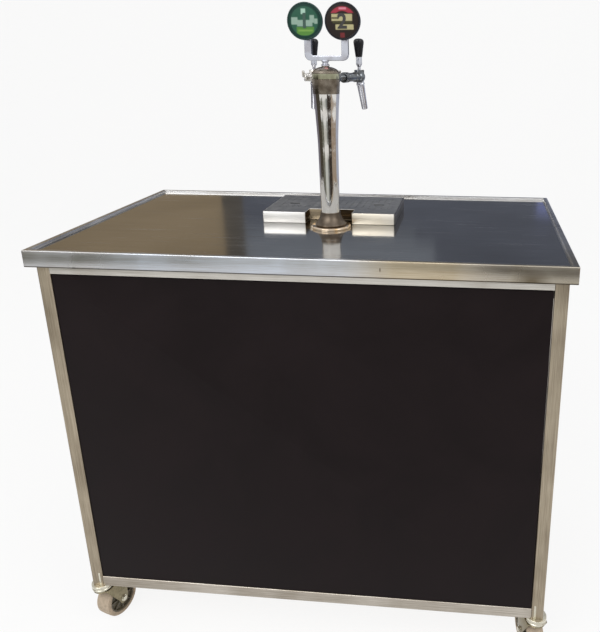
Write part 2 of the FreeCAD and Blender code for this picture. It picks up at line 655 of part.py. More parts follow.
def flow_knob(name, side):
    """Flow control beside the tap, on a spindle in the valve boss."""
    tag = f"knob_{name}_"
    start = "-(boss_length + knob_gap)"
    disc = rod(tag + "disc", "knob_diameter", "knob_length", (start, "valve_reach", "0"),
               **ONTO_LEFT)
    spindle = rod(tag + "spindle", "spindle_diameter", "spindle_length",
                  ("-boss_length - knob_gap + spindle_length", "valve_reach", "0"),
                  **ONTO_LEFT)
    wing = box(tag + "wing", ("wing_thickness", "knob_diameter / 2", "wing_length"),
               (f"{start} - knob_length", "valve_reach - knob_diameter / 4", "0"))
    knob = fuse(tag + "fuse", disc, spindle, wing)
    keep(on_tower(f"{tag}placed", side, knob), f"flow_knob_{name}")


# ------------------------------------------------------------ drip tray

def notched(label, shrink, height, level):
    """Plate of the tray's plan, with the notch for the tower, set in by a margin."""
    side = f"(tray_length / 2 - ({shrink}))"
    half = f"(notch_width / 2 + ({shrink}))"
    plate = padded(label, "XY_Plane", (
        (f"-{side}", shrink), (f"-{half}", shrink), (f"-{half}", f"notch_depth + ({shrink})"),
        (half, f"notch_depth + ({shrink})"), (half, shrink), (side, shrink),
        (side, f"tray_depth - ({shrink})"), (f"-{side}", f"tray_depth - ({shrink})")), height)
    return place(plate, "tray_x", "tray_front", level)


def drip_tray():
    """Tray behind the tower, with a ledge inside its rim that carries the grille."""
    outer = notched("tray_outer", "0", "tray_height", SURFACE)
    upper = notched("tray_upper", "tray_sheet", "grille_sheet + overcut",
                    f"{SURFACE} + tray_height - grille_sheet")
    throat = notched("tray_throat", "tray_sheet + grille_support", "tray_height",
                     f"{SURFACE} + tray_sheet")
    well = notched("tray_well", "tray_sheet",
                   "tray_height - tray_sheet - grille_sheet - grille_ledge",
                   f"{SURFACE} + tray_sheet")
    keep(cut("tray_cut", outer, upper, throat, well), "drip_tray")


def drip_grille():
    """Perforated cover that lies in the tray, with two finger slots."""
    plate = notched("grille_plate", "tray_sheet + grille_play", "grille_sheet",
                    f"{SURFACE} + tray_height - grille_sheet")
    level = f"{SURFACE} + tray_height - grille_sheet - overcut"
    height = "grille_sheet + 2 * overcut"
    middle = "tray_front + tray_depth / 2"
    cuts = []
    for name, side in SIDES:
        cuts.append(centred_box(
            f"finger_slot_{name}", ("slot_length", "slot_width", height),
            (f"tray_x + {side} * slot_spacing / 2", middle, level)))
    first_row = value("notch_depth + grille_border")
    last_row = value("tray_depth - grille_border")
    reach = value("tray_length / 2 - grille_border")
    pitch = value("drain_pitch")
    clear_x = value("(slot_length + drain_pitch) / 2")
    clear_y = value("(slot_width + drain_pitch) / 2")
    rows = int((last_row - first_row) / pitch) + 1
    columns = int(2 * reach / pitch) + 1
    for row in range(rows):
        for column in range(columns):
            across = (column - (columns - 1) / 2) * pitch
            along = first_row + row * pitch
            off_slot = abs(abs(across) - value("slot_spacing / 2")) > clear_x
            if off_slot or abs(along - value("tray_depth / 2")) > clear_y:
                cuts.append(rod(
                    f"drain_{row}_{column}", "drain_diameter", height,
                    (f"tray_x + {column - (columns - 1) / 2} * drain_pitch",
                     f"tray_front + notch_depth + grille_border + {row} * drain_pitch",
                     level)))
    holes = group("grille_holes", *cuts)
    keep(cut("grille_cut", plate, holes), "drip_grille")


# -------------------------------------------------------------- casters
# The pieces of a caster are drawn on the floor with the swivel axis at the
# origin and the wheel trailing along +X, then set under their post.

def rest_turn(side, depth):
    """Turn of a caster at rest: each wheel trails inward, mirrored in both axes."""
    if side < 0:
        return f"{-depth} * caster_turn"
    return f"{-depth} * ({HALF_TURN} - caster_turn)"


def under_post(label, side, depth, *items):
    """Places the pieces of one caster under its post."""
    item = group(label, *items)
    turn(item, Vector(0, 0, 1), rest_turn(side, depth))
    return place(item, f"{side} * {POST_X}", f"{depth} * {POST_Y}")


def caster_head(name, side, depth):
    """Swivel head with the kingpin below and the insert that is driven into the post."""
    tag = f"head_{name}_"
    disc = rod(tag + "disc", "head_disc_diameter", "head_disc_height",
               ("0", "0", "caster_height - head_disc_height"))
    low = f"({FORK_TOP} - fork_plate - swivel_gap - kingpin_head_height)"
    pin = rod(tag + "pin", "kingpin_diameter", f"caster_height - {low}", ("0", "0", low))
    stop = rod(tag + "stop", "kingpin_head", "kingpin_head_height", ("0", "0", low))
    insert = centred_box(tag + "insert",
                         ("tube_width - 2 * tube_wall", "tube_width - 2 * tube_wall",
                          "insert_length"), ("0", "0", "caster_height"))
    head = fuse(tag + "fuse", disc, pin, stop, insert)
    return place(head, f"{side} * {POST_X}", f"{depth} * {POST_Y}")


def caster_heads():
    """All four heads share one node."""
    heads = [caster_head(*corner) for corner in CORNERS]
    keep(group("head_group", *heads), "caster_heads")


def fork_leg(label, low, has_brake):
    """One cheek of the fork, from the top plate down past the axle."""
    top = f"({FORK_TOP} - fork_plate)"
    axle = "(wheel_diameter / 2)"
    foot = "(leg_width / 2)"
    front = "(fork_top_diameter / 4)"
    rear = [("trail + leg_width / 2", top)]
    if has_brake:
        rear = [("trail + brake_reach + brake_ear / 2", f"{axle} + brake_rise + brake_ear / 2"),
                ("trail + brake_reach + brake_ear / 2", f"{axle} + brake_rise - brake_ear / 2"),
                (f"trail + {foot}", f"{axle} + {foot}")]
    low_end = [(f"trail + {foot}", axle), (f"trail + {foot} / 2", f"{axle} - {foot}"),
               (f"trail - {foot} / 2", f"{axle} - {foot}"), (f"trail - {foot}", axle)]
    top_end = [(f"-{front}", top)]
    if has_brake:
        top_end = [(f"-{front}", top), (f"trail + {foot}", top)]
    corners = top_end + rear + low_end
    leg = padded(label, "XZ_Plane", corners, "fork_plate")
    return place(leg, y=low)


def caster_fork(name, side, depth):
    """Fork that swivels on the kingpin, with the axle bolt through its cheeks."""
    tag = f"fork_{name}_"
    braked = depth == BACK
    level = f"({FORK_TOP} - fork_plate)"
    plate = rod(tag + "plate", "fork_top_diameter", "fork_plate", ("0", "0", level))
    reach = f"({FORK_INSIDE} + fork_plate)"
    bridge = box(tag + "bridge",
                 ("trail + leg_width / 2 + fork_top_diameter / 4", f"2 * {reach}", "fork_plate"),
                 ("-fork_top_diameter / 4", f"-{reach}", level))
    cheeks = [fork_leg(tag + "cheek_a", reach, braked),
              fork_leg(tag + "cheek_b", f"-{FORK_INSIDE}", braked)]
    solid = fuse(tag + "solid", plate, bridge, *cheeks)
    swivel = rod(tag + "swivel", "kingpin_diameter + 2 * running_play",
                 "fork_plate + 2 * overcut", ("0", "0", f"{level} - overcut"))
    axle_hole = rod(tag + "axle_hole", "axle_diameter", f"2 * {reach} + 2 * overcut",
                    ("trail", f"-{reach} - overcut", "wheel_diameter / 2"), **ONTO_BACK)
    holes = [swivel, axle_hole]
    if braked:
        holes.append(rod(tag + "brake_hole", "brake_pin + 2 * running_play",
                         f"2 * {reach} + 2 * overcut",
                         ("trail + brake_reach", f"-{reach} - overcut",
                          "wheel_diameter / 2 + brake_rise"), **ONTO_BACK))
    fork = cut(tag + "cut", solid, *holes)
    shaft = rod(tag + "shaft", "axle_diameter", f"2 * {reach}",
                ("trail", f"-{reach}", "wheel_diameter / 2"), **ONTO_BACK)
    heads = [rod(tag + "bolt_head", "axle_head", "axle_head_height",
                 ("trail", reach, "wheel_diameter / 2"), **ONTO_BACK),
             rod(tag + "bolt_nut", "axle_head", "axle_head_height",
                 ("trail", f"-{reach}", "wheel_diameter / 2"), **ONTO_FRONT)]
    axle = fuse(tag + "axle", shaft, *heads)
    keep(under_post(tag + "placed", side, depth, fork, axle), f"caster_fork_{name}")


def caster_wheel(name, side, depth):
    """Wheel with a rounded tyre, a dished disc and a hub that runs on the axle."""
    radius, half = "(wheel_diameter / 2)", "(wheel_width / 2)"
    inner = "(wheel_diameter / 2 - tyre_thickness)"
    bore = "axle_diameter / 2 + running_play"
    hub = "hub_diameter / 2"
    eased = f"tread_rounding * {ARC_SHARE}"
    right = [(radius, f"{half} - tread_rounding"),
             (f"{radius} - {eased}", f"{half} - {eased}"),
             (f"{radius} - tread_rounding", half), (inner, half),
             (inner, f"{half} - rim_recess"), (hub, f"{half} - rim_recess"),
             (hub, "hub_width / 2"), (bore, "hub_width / 2")]
    left = [(across, f"-({up})") for across, up in reversed(right)]
    wheel = turned(f"wheel_{name}_body", right + left)
    lay(wheel, Vector(1, 0, 0), QUARTER_TURN)
    place(wheel, x="trail", z="wheel_diameter / 2")
    keep(under_post(f"wheel_{name}_placed", side, depth, wheel), f"caster_wheel_{name}")


def caster_brake(name, side, depth):
    """Pedal that turns on a pin between the fork's ears and carries the brake shoe."""
    tag = f"brake_{name}_"
    across = ("trail + brake_reach", "wheel_diameter / 2 + brake_rise")
    hub = rod(tag + "hub", "pedal_hub", "pedal_width",
              (across[0], "-pedal_width / 2", across[1]), **ONTO_BACK)
    reach = f"({FORK_INSIDE} + fork_plate)"
    pin = rod(tag + "pin", "brake_pin", f"2 * {reach}",
              (across[0], f"-{reach}", across[1]), **ONTO_BACK)
    pedal = box(tag + "pedal", ("pedal_length", "pedal_width", "pedal_thickness"),
                (across[0], "-pedal_width / 2", f"{across[1]} + pedal_hub / 2 - pedal_thickness"))
    apart = "sqrt(brake_reach * brake_reach + brake_rise * brake_rise)"
    shoe = rod(tag + "shoe", "shoe_diameter", "pedal_width",
               (f"{across[0]} - shoe_shift * brake_reach / {apart}", "-pedal_width / 2",
                f"{across[1]} - shoe_shift * brake_rise / {apart}"), **ONTO_BACK)
    brake = fuse(tag + "fuse", hub, pin, pedal, shoe)
    keep(under_post(tag + "placed", side, depth, brake), f"caster_brake_{name}")


# --------------------------------------------------------------- cooler

def cooler_pan():
    """Open pan that the cooler's machinery stands in."""
    outer = centred_box("pan_outer", ("cooler_width", "cooler_depth", "pan_height"),
                        (COOLER_X, "cooler_y", SHELF_TOP))
    inner = centred_box(
        "pan_inner",
        ("cooler_width - 2 * cooler_sheet", "cooler_depth - 2 * cooler_sheet", "pan_height"),
        (COOLER_X, "cooler_y", PAN_FLOOR))
    keep(cut("pan_cut", outer, inner), "cooler_pan")


def vents(label, length, depth, middle):
    """Level slots, one above the other, that cut through an upright sheet."""
    return [centred_box(
        f"{label}_{number}", (length, depth, "vent_height"),
        (*middle, f"{SHELF_TOP} + vent_level + {number} * vent_pitch"))
        for number in range(int(value("vent_count")))]


def cooler_hood():
    """Front, sides and top of the cooler's hood: bent sheets that meet at their edges."""
    through = "2 * (cooler_sheet + overcut)"
    front = box("hood_front", ("cooler_width", "cooler_sheet", HOOD_WALL),
                (COOLER_LEFT, COOLER_FRONT, HOOD_FOOT))
    slots = vents("front_vent", "vent_width", through, (COOLER_X, COOLER_FRONT))
    sheets = [cut("hood_front_cut", front, *slots)]
    top = box("hood_top", ("cooler_width", "cooler_depth", "cooler_sheet"),
              (COOLER_LEFT, COOLER_FRONT, f"{COOLER_TOP} - cooler_sheet"))
    holes = []
    for name, side in SIDES:
        face = f"{COOLER_X} + {side} * cooler_width / 2"
        low_x = face if side < 0 else f"{face} - cooler_sheet"
        wall = box(f"hood_{name}",
                   ("cooler_sheet", "cooler_depth - 2 * cooler_sheet", HOOD_WALL),
                   (low_x, f"{COOLER_FRONT} + cooler_sheet", HOOD_FOOT))
        slots = vents(f"{name}_vent", through, "side_vent_width",
                      (face, "cooler_y - side_vent_shift"))
        sheets.append(cut(f"hood_{name}_cut", wall, *slots))
        holes.append(rod(f"outlet_hole_{name}", "outlet_diameter + 2 * fitting_play", through,
                         (f"{OUTLET_X} + {side} * outlet_spacing / 2", "tower_y",
                          f"{COOLER_TOP} - cooler_sheet - overcut")))
    sheets.append(cut("hood_top_cut", top, *holes))
    keep(group("hood_group", *sheets), "cooler_hood")


def cooler_rear():
    """Rear sheet of the cooler, with holes for the fittings and the controls."""
    inside = f"{COOLER_BACK} - cooler_sheet - overcut"
    through = "cooler_sheet + 2 * overcut"
    rear = box("rear_sheet", ("cooler_width", "cooler_sheet", HOOD_WALL),
               (COOLER_LEFT, f"{COOLER_BACK} - cooler_sheet", HOOD_FOOT))
    holes = [rod(f"inlet_hole_{name}", "inlet_diameter + 2 * fitting_play", through,
                 (f"{COOLER_X} + {side} * inlet_spacing / 2", inside,
                  f"{SHELF_TOP} + inlet_level"), **ONTO_BACK) for name, side in SIDES]
    holes.append(rod("dial_hole", "dial_spindle_diameter + 2 * running_play", through,
                     (f"{COOLER_X} + dial_x", inside, f"{SHELF_TOP} + control_level"),
                     **ONTO_BACK))
    chord = "2 * sqrt(rocker_radius * rocker_radius - (rocker_sunk - cooler_sheet) ^ 2)"
    holes.append(box(
        "rocker_hole", ("rocker_width + 2 * rocker_play", through, f"{chord} + 2 * rocker_play"),
        (f"{COOLER_X} + switch_x - rocker_width / 2 - rocker_play", inside,
         f"{SHELF_TOP} + control_level - ({chord}) / 2 - rocker_play")))
    holes.append(box(
        "socket_hole", ("socket_width", through, "socket_height"),
        (f"{COOLER_X} + socket_x - socket_width / 2", inside,
         f"{SHELF_TOP} + socket_level")))
    keep(cut("rear_cut", rear, *holes), "cooler_rear")


def condenser():
    """Finned block behind the hood's front vents."""
    front = f"({COOLER_FRONT} + condenser_gap)"
    low_x = f"({COOLER_X} - condenser_width / 2)"
    block = box("condenser_block", ("condenser_width", "condenser_depth", "condenser_height"),
                (low_x, front, PAN_FLOOR))
    pitch = "(condenser_width / fin_count)"
    slots = [box(f"fin_slot_{number}", ("fin_slot", "fin_depth + overcut",
                                        "condenser_height + 2 * overcut"),
                 (f"{low_x} + ({number} + 0.5) * {pitch} - fin_slot / 2",
                  f"{front} - overcut", f"{PAN_FLOOR} - overcut"))
             for number in range(int(value("fin_count")))]
    keep(cut("condenser_cut", block, *slots), "condenser")


FAN_FRONT = f"({COOLER_FRONT} + condenser_gap + condenser_depth + fan_gap)"
FAN_LEVEL = f"({PAN_FLOOR} + condenser_height / 2)"
MOTOR_FRONT = f"({FAN_FRONT} + fan_depth + motor_gap)"


def cooler_fan():
    """Fan with pitched blades on a hub that is fixed to the motor's shaft."""
    hub = rod("fan_hub", "fan_hub_diameter", "fan_depth", (), **ONTO_BACK)
    blades = []
    for number in range(int(value("fan_blades"))):
        blade = box(f"fan_blade_{number}",
                    ("fan_diameter / 2 - blade_root", "blade_thickness",
                     "fan_depth - 2 * blade_thickness"),
                    ("blade_root", "-blade_thickness / 2",
                     "blade_thickness - fan_depth / 2"))
        pitched = turn(group(f"fan_blade_{number}_pitched", blade), Vector(1, 0, 0),
                       "blade_pitch")
        spun = turn(group(f"fan_blade_{number}_spun", pitched), Vector(0, 1, 0),
                    f"{number} * {FULL_TURN} / fan_blades")
        blades.append(place(spun, y="fan_depth / 2"))
    bore = rod("fan_bore", "shaft_diameter + 2 * running_play", "fan_depth + 2 * overcut",
               ("0", "-overcut", "0"), **ONTO_BACK)
    fan = cut("fan_cut", fuse("fan_solid", hub, *blades), bore)
    keep(place(fan, COOLER_X, FAN_FRONT, FAN_LEVEL), "cooler_fan")


def fan_motor():
    """Motor with its shaft in the fan, on a foot in the pan."""
    can = rod("motor_can", "motor_diameter", "motor_length",
              (COOLER_X, MOTOR_FRONT, FAN_LEVEL), **ONTO_BACK)
    shaft = rod("motor_shaft", "shaft_diameter", "fan_depth + motor_gap + overcut",
                (COOLER_X, FAN_FRONT, FAN_LEVEL), **ONTO_BACK)
    foot = centred_box(
        "motor_foot", ("motor_foot_width", "motor_foot_depth", f"{FAN_LEVEL} - {PAN_FLOOR}"),
        (COOLER_X, f"{MOTOR_FRONT} + motor_length / 2", PAN_FLOOR))
    keep(fuse("motor_fuse", can, shaft, foot), "fan_motor")


def compressor():
    """Sealed compressor: a can with a domed top."""
    middle = (f"{COOLER_X} + compressor_x", "cooler_y + compressor_y")
    can = rod("compressor_can", "compressor_diameter", "compressor_height",
              (*middle, PAN_FLOOR))
    dome = doc.addObject("Part::Ellipsoid", "compressor_lid")
    bind(dome, Radius1="compressor_dome", Radius2="compressor_diameter / 2",
         Radius3="compressor_diameter / 2", Angle1="0")
    place(dome, *middle, f"{PAN_FLOOR} + compressor_height")
    keep(fuse("compressor_fuse", can, dome), "compressor")


def cooling_block():
    """Block that the beer runs through, with keg line inlets and outlets to the tower."""
    back = f"({COOLER_BACK} - cooler_sheet - block_back_gap)"
    block = box("block_body", ("block_width", "block_depth", "block_height"),
                (f"{COOLER_X} - block_width / 2", f"{back} - block_depth", PAN_FLOOR))
    pieces, bores = [block], []
    block_top = f"({PAN_FLOOR} + block_height)"
    for name, side in SIDES:
        inlet = (f"{COOLER_X} + {side} * inlet_spacing / 2", back,
                 f"{SHELF_TOP} + inlet_level")
        pieces.append(rod(f"inlet_{name}", "inlet_diameter",
                          "block_back_gap + cooler_sheet + inlet_reach", inlet, **ONTO_BACK))
        bores.append(rod(
            f"inlet_bore_{name}", "inlet_bore", "inlet_bore_depth + overcut",
            (inlet[0], f"{COOLER_BACK} + inlet_reach - inlet_bore_depth", inlet[2]),
            **ONTO_BACK))
        across = f"{OUTLET_X} + {side} * outlet_spacing / 2"
        rise = f"{COOLER_TOP} + outlet_rise - {block_top} + outlet_diameter"
        pieces.append(rod(f"outlet_{name}", "outlet_diameter", rise,
                          (across, "tower_y", f"{block_top} - outlet_diameter")))
    arm = box("outlet_arm", ("outlet_spacing + 2 * outlet_diameter",
                             f"{back} - tower_y + outlet_diameter", "2 * outlet_diameter"),
              (f"{OUTLET_X} - outlet_spacing / 2 - outlet_diameter",
               "tower_y - outlet_diameter", f"{block_top} - 2 * outlet_diameter"))
    pieces.append(arm)
    keep(cut("block_cut", fuse("block_fuse", *pieces), *bores), "cooling_block")


def thermostat_dial():
    """Dial on a spindle through the hood."""
    disc = rod("dial_disc", "dial_diameter", "dial_depth", ("0", "knob_gap", "0"), **ONTO_BACK)
    spindle = rod("dial_spindle", "dial_spindle_diameter",
                  "dial_spindle_length + knob_gap + overcut",
                  ("0", "-dial_spindle_length", "0"), **ONTO_BACK)
    dial = fuse("dial_fuse", disc, spindle)
    keep(place(dial, f"{COOLER_X} + dial_x", COOLER_BACK, f"{SHELF_TOP} + control_level"),
         "thermostat_dial")


def power_rocker():
    """Rocker of the mains switch: a drum with a dished face, tilted to its off side."""
    drum = rod("rocker_drum", "2 * rocker_radius", "rocker_width",
               ("-rocker_width / 2", "0", "0"), **ONTO_RIGHT)
    face = "rocker_radius - rocker_dip"
    dish = rod("rocker_hollow", "2 * rocker_dish", "rocker_width + 2 * overcut",
               ("-rocker_width / 2 - overcut", f"{face} + rocker_dish", "0"), **ONTO_RIGHT)
    tilted = turn(group("rocker_hollow_tilted", dish), Vector(1, 0, 0), "rocker_tilt")
    rocker = cut("rocker_cut", drum, tilted)
    keep(place(rocker, f"{COOLER_X} + switch_x", f"{COOLER_BACK} - rocker_sunk",
               f"{SHELF_TOP} + control_level"), "power_rocker")


def power_inlet():
    """Mains inlet set in the hood: a lip outside, a body inside and its cavity."""
    middle = f"{COOLER_X} + socket_x"
    level = f"{SHELF_TOP} + socket_level"
    body = box("inlet_body", ("socket_width", "socket_body", "socket_height"),
               (f"{middle} - socket_width / 2", f"{COOLER_BACK} - socket_body", level))
    lip = box("inlet_lip", ("socket_width + 2 * socket_lip", "socket_lip_thickness",
                            "socket_height + 2 * socket_lip"),
              (f"{middle} - socket_width / 2 - socket_lip", COOLER_BACK,
               f"{level} - socket_lip"))
    cavity = box("inlet_cavity", ("socket_width - 2 * socket_wall", "mains_cavity + overcut",
                                  "socket_height - 2 * socket_wall"),
                 (f"{middle} - socket_width / 2 + socket_wall",
                  f"{COOLER_BACK} + socket_lip_thickness - mains_cavity",
                  f"{level} + socket_wall"))
    keep(cut("inlet_cut", fuse("inlet_fuse", body, lip), cavity), "power_inlet")


# ----------------------------------------------------------- beer lines

BEND_SHARE = 0.45


def rounded_path(points):
    """Straight runs joined by tangent arcs, each as large as its shorter run allows."""
    edges, radii = [], []
    last = points[0]
    for before, corner, after in zip(points, points[1:], points[2:]):
        back, ahead = before - corner, after - corner
        half = (FreeCAD.Units.Quantity("180 deg").getValueAs("rad") - back.getAngle(ahead)) / 2
        reach = BEND_SHARE * min(back.Length, ahead.Length)
        radii.append(reach / tangent(half))
        start = corner + back.normalize() * reach
        end = corner + ahead.normalize() * reach
        bisector = (back + ahead).normalize()
        centre = corner + bisector * (radii[-1] / cosine(half))
        middle = centre - bisector * radii[-1]
        edges.append(Part.LineSegment(last, start).toShape())
        edges.append(Part.Arc(start, middle, end).toShape())
        last = end
    edges.append(Part.LineSegment(last, points[-1]).toShape())
    return Part.Wire(edges), radii


def tangent(angle):
    """Tangent of an angle in radians, from the sheet's own function."""
    return float(sheet.evalExpression(f"tan({angle} rad)"))


def cosine(angle):
    """Cosine of an angle in radians, from the sheet's own function."""
    return float(sheet.evalExpression(f"cos({angle} rad)"))


def beer_line(side):
    """Line from the cooler's outlet up through the stem and the column to one shank."""
    axis = Vector(value("tower_x"), value("tower_y"), 0)
    out = Rotation(Vector(0, 0, 1), -side * value("tap_splay")).multVec(Vector(0, 1, 0))
    tap = value(TAP_LEVEL)
    end = axis + out * value(ELBOW_REACH)
    end.z = tap - value("line_tail")
    apart = Vector(side * value("line_offset_top"), 0, 0)
    outlet = Vector(value(f"{OUTLET_X} + {side} * outlet_spacing / 2"), axis.y,
                    value(f"{COOLER_TOP} + outlet_rise"))
    points = [
        end, Vector(end.x, end.y, end.z - value("line_tail")),
        axis + apart + Vector(0, 0, tap - value("line_bend_level")),
        axis + apart + Vector(0, 0, value("line_run_level")),
        Vector(outlet.x, outlet.y, value("line_low_level")), outlet,
    ]
    path, radii = rounded_path(points)
    ring = Part.Wire(Part.Circle(end, Vector(0, 0, 1), value("line_diameter / 2")).toShape())
    solid = path.makePipeShell([ring], True, False)
    section = Part.Face(ring).Area
    print("beer line radii", [round(radius, 1) for radius in radii],
          "volume ratio", round(solid.Volume / (section * path.Length), 4))
    return solid


def beer_lines():
    """Both lines share one node."""
    lines = doc.addObject("Part::Feature", "line_group")
    lines.Shape = Part.makeCompound([beer_line(side) for name, side in SIDES])
    keep(lines, "beer_lines")


# ------------------------------------------------------------- document

def build():
    """Makes every sub-part."""
    fill_sheet()
    worktop()
    table_board()
    frame()
    panels()
    panel_ledges()
    base_shelf()
    tower_flange()
    tower_nut()
    tower_column()
    tower_cap()
    badge_bracket()
    badges()
    tap_shanks()
    for name, side in SIDES:
        tap_body(name, side)
        tap_lever(name, side)
        tap_grip(name, side)
        flow_knob(name, side)
    drip_tray()
    drip_grille()
    caster_heads()
    for corner in CORNERS:
        caster_fork(*corner)
        caster_wheel(*corner)
        if corner[2] == BACK:
            caster_brake(*corner)
    cooler_pan()
    cooler_hood()
    cooler_rear()
    condenser()
    cooler_fan()
    fan_motor()
    compressor()
    cooling_block()
    thermostat_dial()
    power_rocker()
    power_inlet()
    beer_lines()
    doc.recompute()


def check():
    """Stops on any object that failed and any sub-part whose shape isn't sound."""
    for item in doc.Objects:
        if {"Invalid", "Error"} & set(item.State):
            raise RuntimeError(f"{item.Name} is {item.State}")
    for name, item in parts.items():
        if item.Shape.isNull() or not item.Shape.isValid() or not item.Shape.Solids:
            raise RuntimeError(f"{name} has no sound shape")


def write():
    """Writes each sub-part to its own file."""
    os.makedirs("parts", exist_ok=True)
    for name, item in parts.items():
        item.Shape.exportStep(f"parts/{name}.step")
    print(len(parts), "sub-parts written")


build()
check()
write()
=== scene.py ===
"""Mobile beer counter with a chrome two-tap column: its visible surfaces and their finishes.

Metres, +Z up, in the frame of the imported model: the origin is on the floor under the middle of
the worktop, and the customers stand on the -Y side. Places come from the frame, and the sizes
that belong to one piece are written in millimetres and turned to metres by MM.
"""
import math

import bmesh
import bpy
import numpy as np
from bpy.props import FloatProperty, FloatVectorProperty, PointerProperty
from mathutils import Matrix, Vector


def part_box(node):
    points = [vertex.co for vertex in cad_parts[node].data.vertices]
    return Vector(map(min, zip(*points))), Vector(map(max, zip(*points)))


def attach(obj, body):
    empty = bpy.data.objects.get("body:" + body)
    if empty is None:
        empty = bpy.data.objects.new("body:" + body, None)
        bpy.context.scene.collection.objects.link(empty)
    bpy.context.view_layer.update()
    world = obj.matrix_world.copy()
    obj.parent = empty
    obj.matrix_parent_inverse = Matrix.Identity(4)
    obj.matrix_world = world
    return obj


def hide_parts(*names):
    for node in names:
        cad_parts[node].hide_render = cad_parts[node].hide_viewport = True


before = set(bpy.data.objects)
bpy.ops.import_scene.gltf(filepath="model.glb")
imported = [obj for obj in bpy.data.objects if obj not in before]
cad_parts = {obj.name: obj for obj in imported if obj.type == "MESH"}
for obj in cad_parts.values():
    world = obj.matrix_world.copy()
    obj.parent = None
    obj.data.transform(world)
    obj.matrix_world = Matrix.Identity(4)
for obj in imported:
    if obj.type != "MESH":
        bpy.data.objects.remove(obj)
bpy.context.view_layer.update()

bl_info = {
    "name": "Beer counter",
    "version": (1, 0, 0),
    "blender": (4, 5, 0),
    "location": "3D View > Sidebar > Beer counter",
    "description": "Builds the visible surfaces of a mobile beer counter round its packed model",
    "category": "Object",
}

MM = 0.001
SIDES = (("left", -1), ("right", 1))
CORNERS = (("front_left", -1, -1), ("front_right", 1, -1),
           ("rear_left", -1, 1), ("rear_right", 1, 1))

# Where the two plan coordinates and the level of a row go, for levels along each axis.
AXES = {"x": [2, 0, 1], "y": [0, 2, 1], "z": [0, 1, 2]}

# Faces that meet at more than SHARP_ANGLE keep a sharp edge, a corner of an outline keeps at least
# the radius SHARPEST, and a turned piece has ROUND_STEPS points around.
SHARP_ANGLE = math.radians(32)
SHARPEST = 0.05 * MM
ROUND_STEPS = 64


def linear(code):
    """Scene-linear red, green, blue and alpha of an sRGB hex colour."""
    share = np.array([int(code[start:start + 2], 16) for start in (1, 3, 5)]) / 255
    curve = np.where(share <= 0.04045, share / 12.92, ((share + 0.055) / 1.055) ** 2.4)
    return (*curve.tolist(), 1.0)


# ------------------------------------------------------------ sizes and colours

def size_of(label, text, millimetres):
    """Property for a length."""
    return FloatProperty(name=label, description=text, default=millimetres * MM,
                         min=0.0, unit="LENGTH", subtype="DISTANCE")


def colour_of(label, text, code):
    """Property for a colour, from its sRGB hex value."""
    return FloatVectorProperty(name=label, description=text, default=linear(code), size=4,
                               min=0.0, max=1.0, subtype="COLOR")


class CounterSizes(bpy.types.PropertyGroup):
    """Bends and edges of the counter."""
    sheet_bend: size_of("Sheet bend", "Outer radius of the worktop's folds", 1.8)
    sheet_weld: size_of("Corner weld", "Radius of the worktop's ground corners", 2.5)
    tube_corner: size_of("Tube corner", "Outer radius of the square tube's corners", 3.0)
    panel_edge: size_of("Panel edge", "Rounding of the panels' edges", 0.8)
    board_edge: size_of("Board edge", "Rounding of the plywood's edges", 0.6)
    tray_corner: size_of("Tray corner", "Plan radius of the drip tray's corners", 2.5)


class CounterColours(bpy.types.PropertyGroup):
    """Colours of the counter's finishes."""
    frame_light: colour_of("Frame, light", "Brushed steel of the frame where it is clean",
                           "#cbc4ba")
    frame_dark: colour_of("Frame, dark", "Brushed steel of the frame in its scratches", "#8d8375")
    apron_light: colour_of("Apron, light", "Folded edge of the worktop where it is clean",
                           "#dadcdf")
    apron_dark: colour_of("Apron, dark", "Folded edge of the worktop in its scratches", "#b9b4ad")
    top_light: colour_of("Worktop, light", "Steel of the worktop where it is clean", "#c4c3c1")
    top_dark: colour_of("Worktop, dark", "Steel of the worktop where it is rubbed", "#a3a19e")
    tray_light: colour_of("Tray, light", "Steel of the drip tray", "#f3f2f0")
    panel: colour_of("Panel", "Laminate of the front and side panels", "#181213")
    chrome: colour_of("Chrome", "Bright plating of the column, left tap and flow levers",
                      "#dcdad6")
    brass: colour_of("Brass", "Brass that shows through thin plating", "#b08d57")
    badge_green: colour_of("Badge, green", "Print of the left badge", "#264d3d")
    badge_lime: colour_of("Badge, light green", "Lower field of the left badge", "#527f3a")
    badge_red: colour_of("Badge, red", "Arc on the right badge", "#96303f")
    badge_cream: colour_of("Badge, cream", "Band of the right badge", "#aaa37b")
    cooler: colour_of("Cooler", "Powder coat of the cooler's housing", "#b9bdbf")
    tyre: colour_of("Tyre", "Rubber of the casters' tyres", "#c2b09a")


class StageSettings(bpy.types.PropertyGroup):
    """Floor, lamps and camera."""
    floor: colour_of("Floor", "Paper of the floor and the backdrop", "#f4f4f2")
    key: FloatProperty(name="Key lamp", description="Power of the large lamp in front",
                       default=95.0, min=0.0, subtype="POWER")
    fill: FloatProperty(name="Fill lamp", description="Power of the lamp on the right",
                        default=45.0, min=0.0, subtype="POWER")
    sky: FloatProperty(name="Room light", description="Strength of the even light all round",
                       default=0.55, min=0.0)


# ------------------------------------------------------------------ shaping

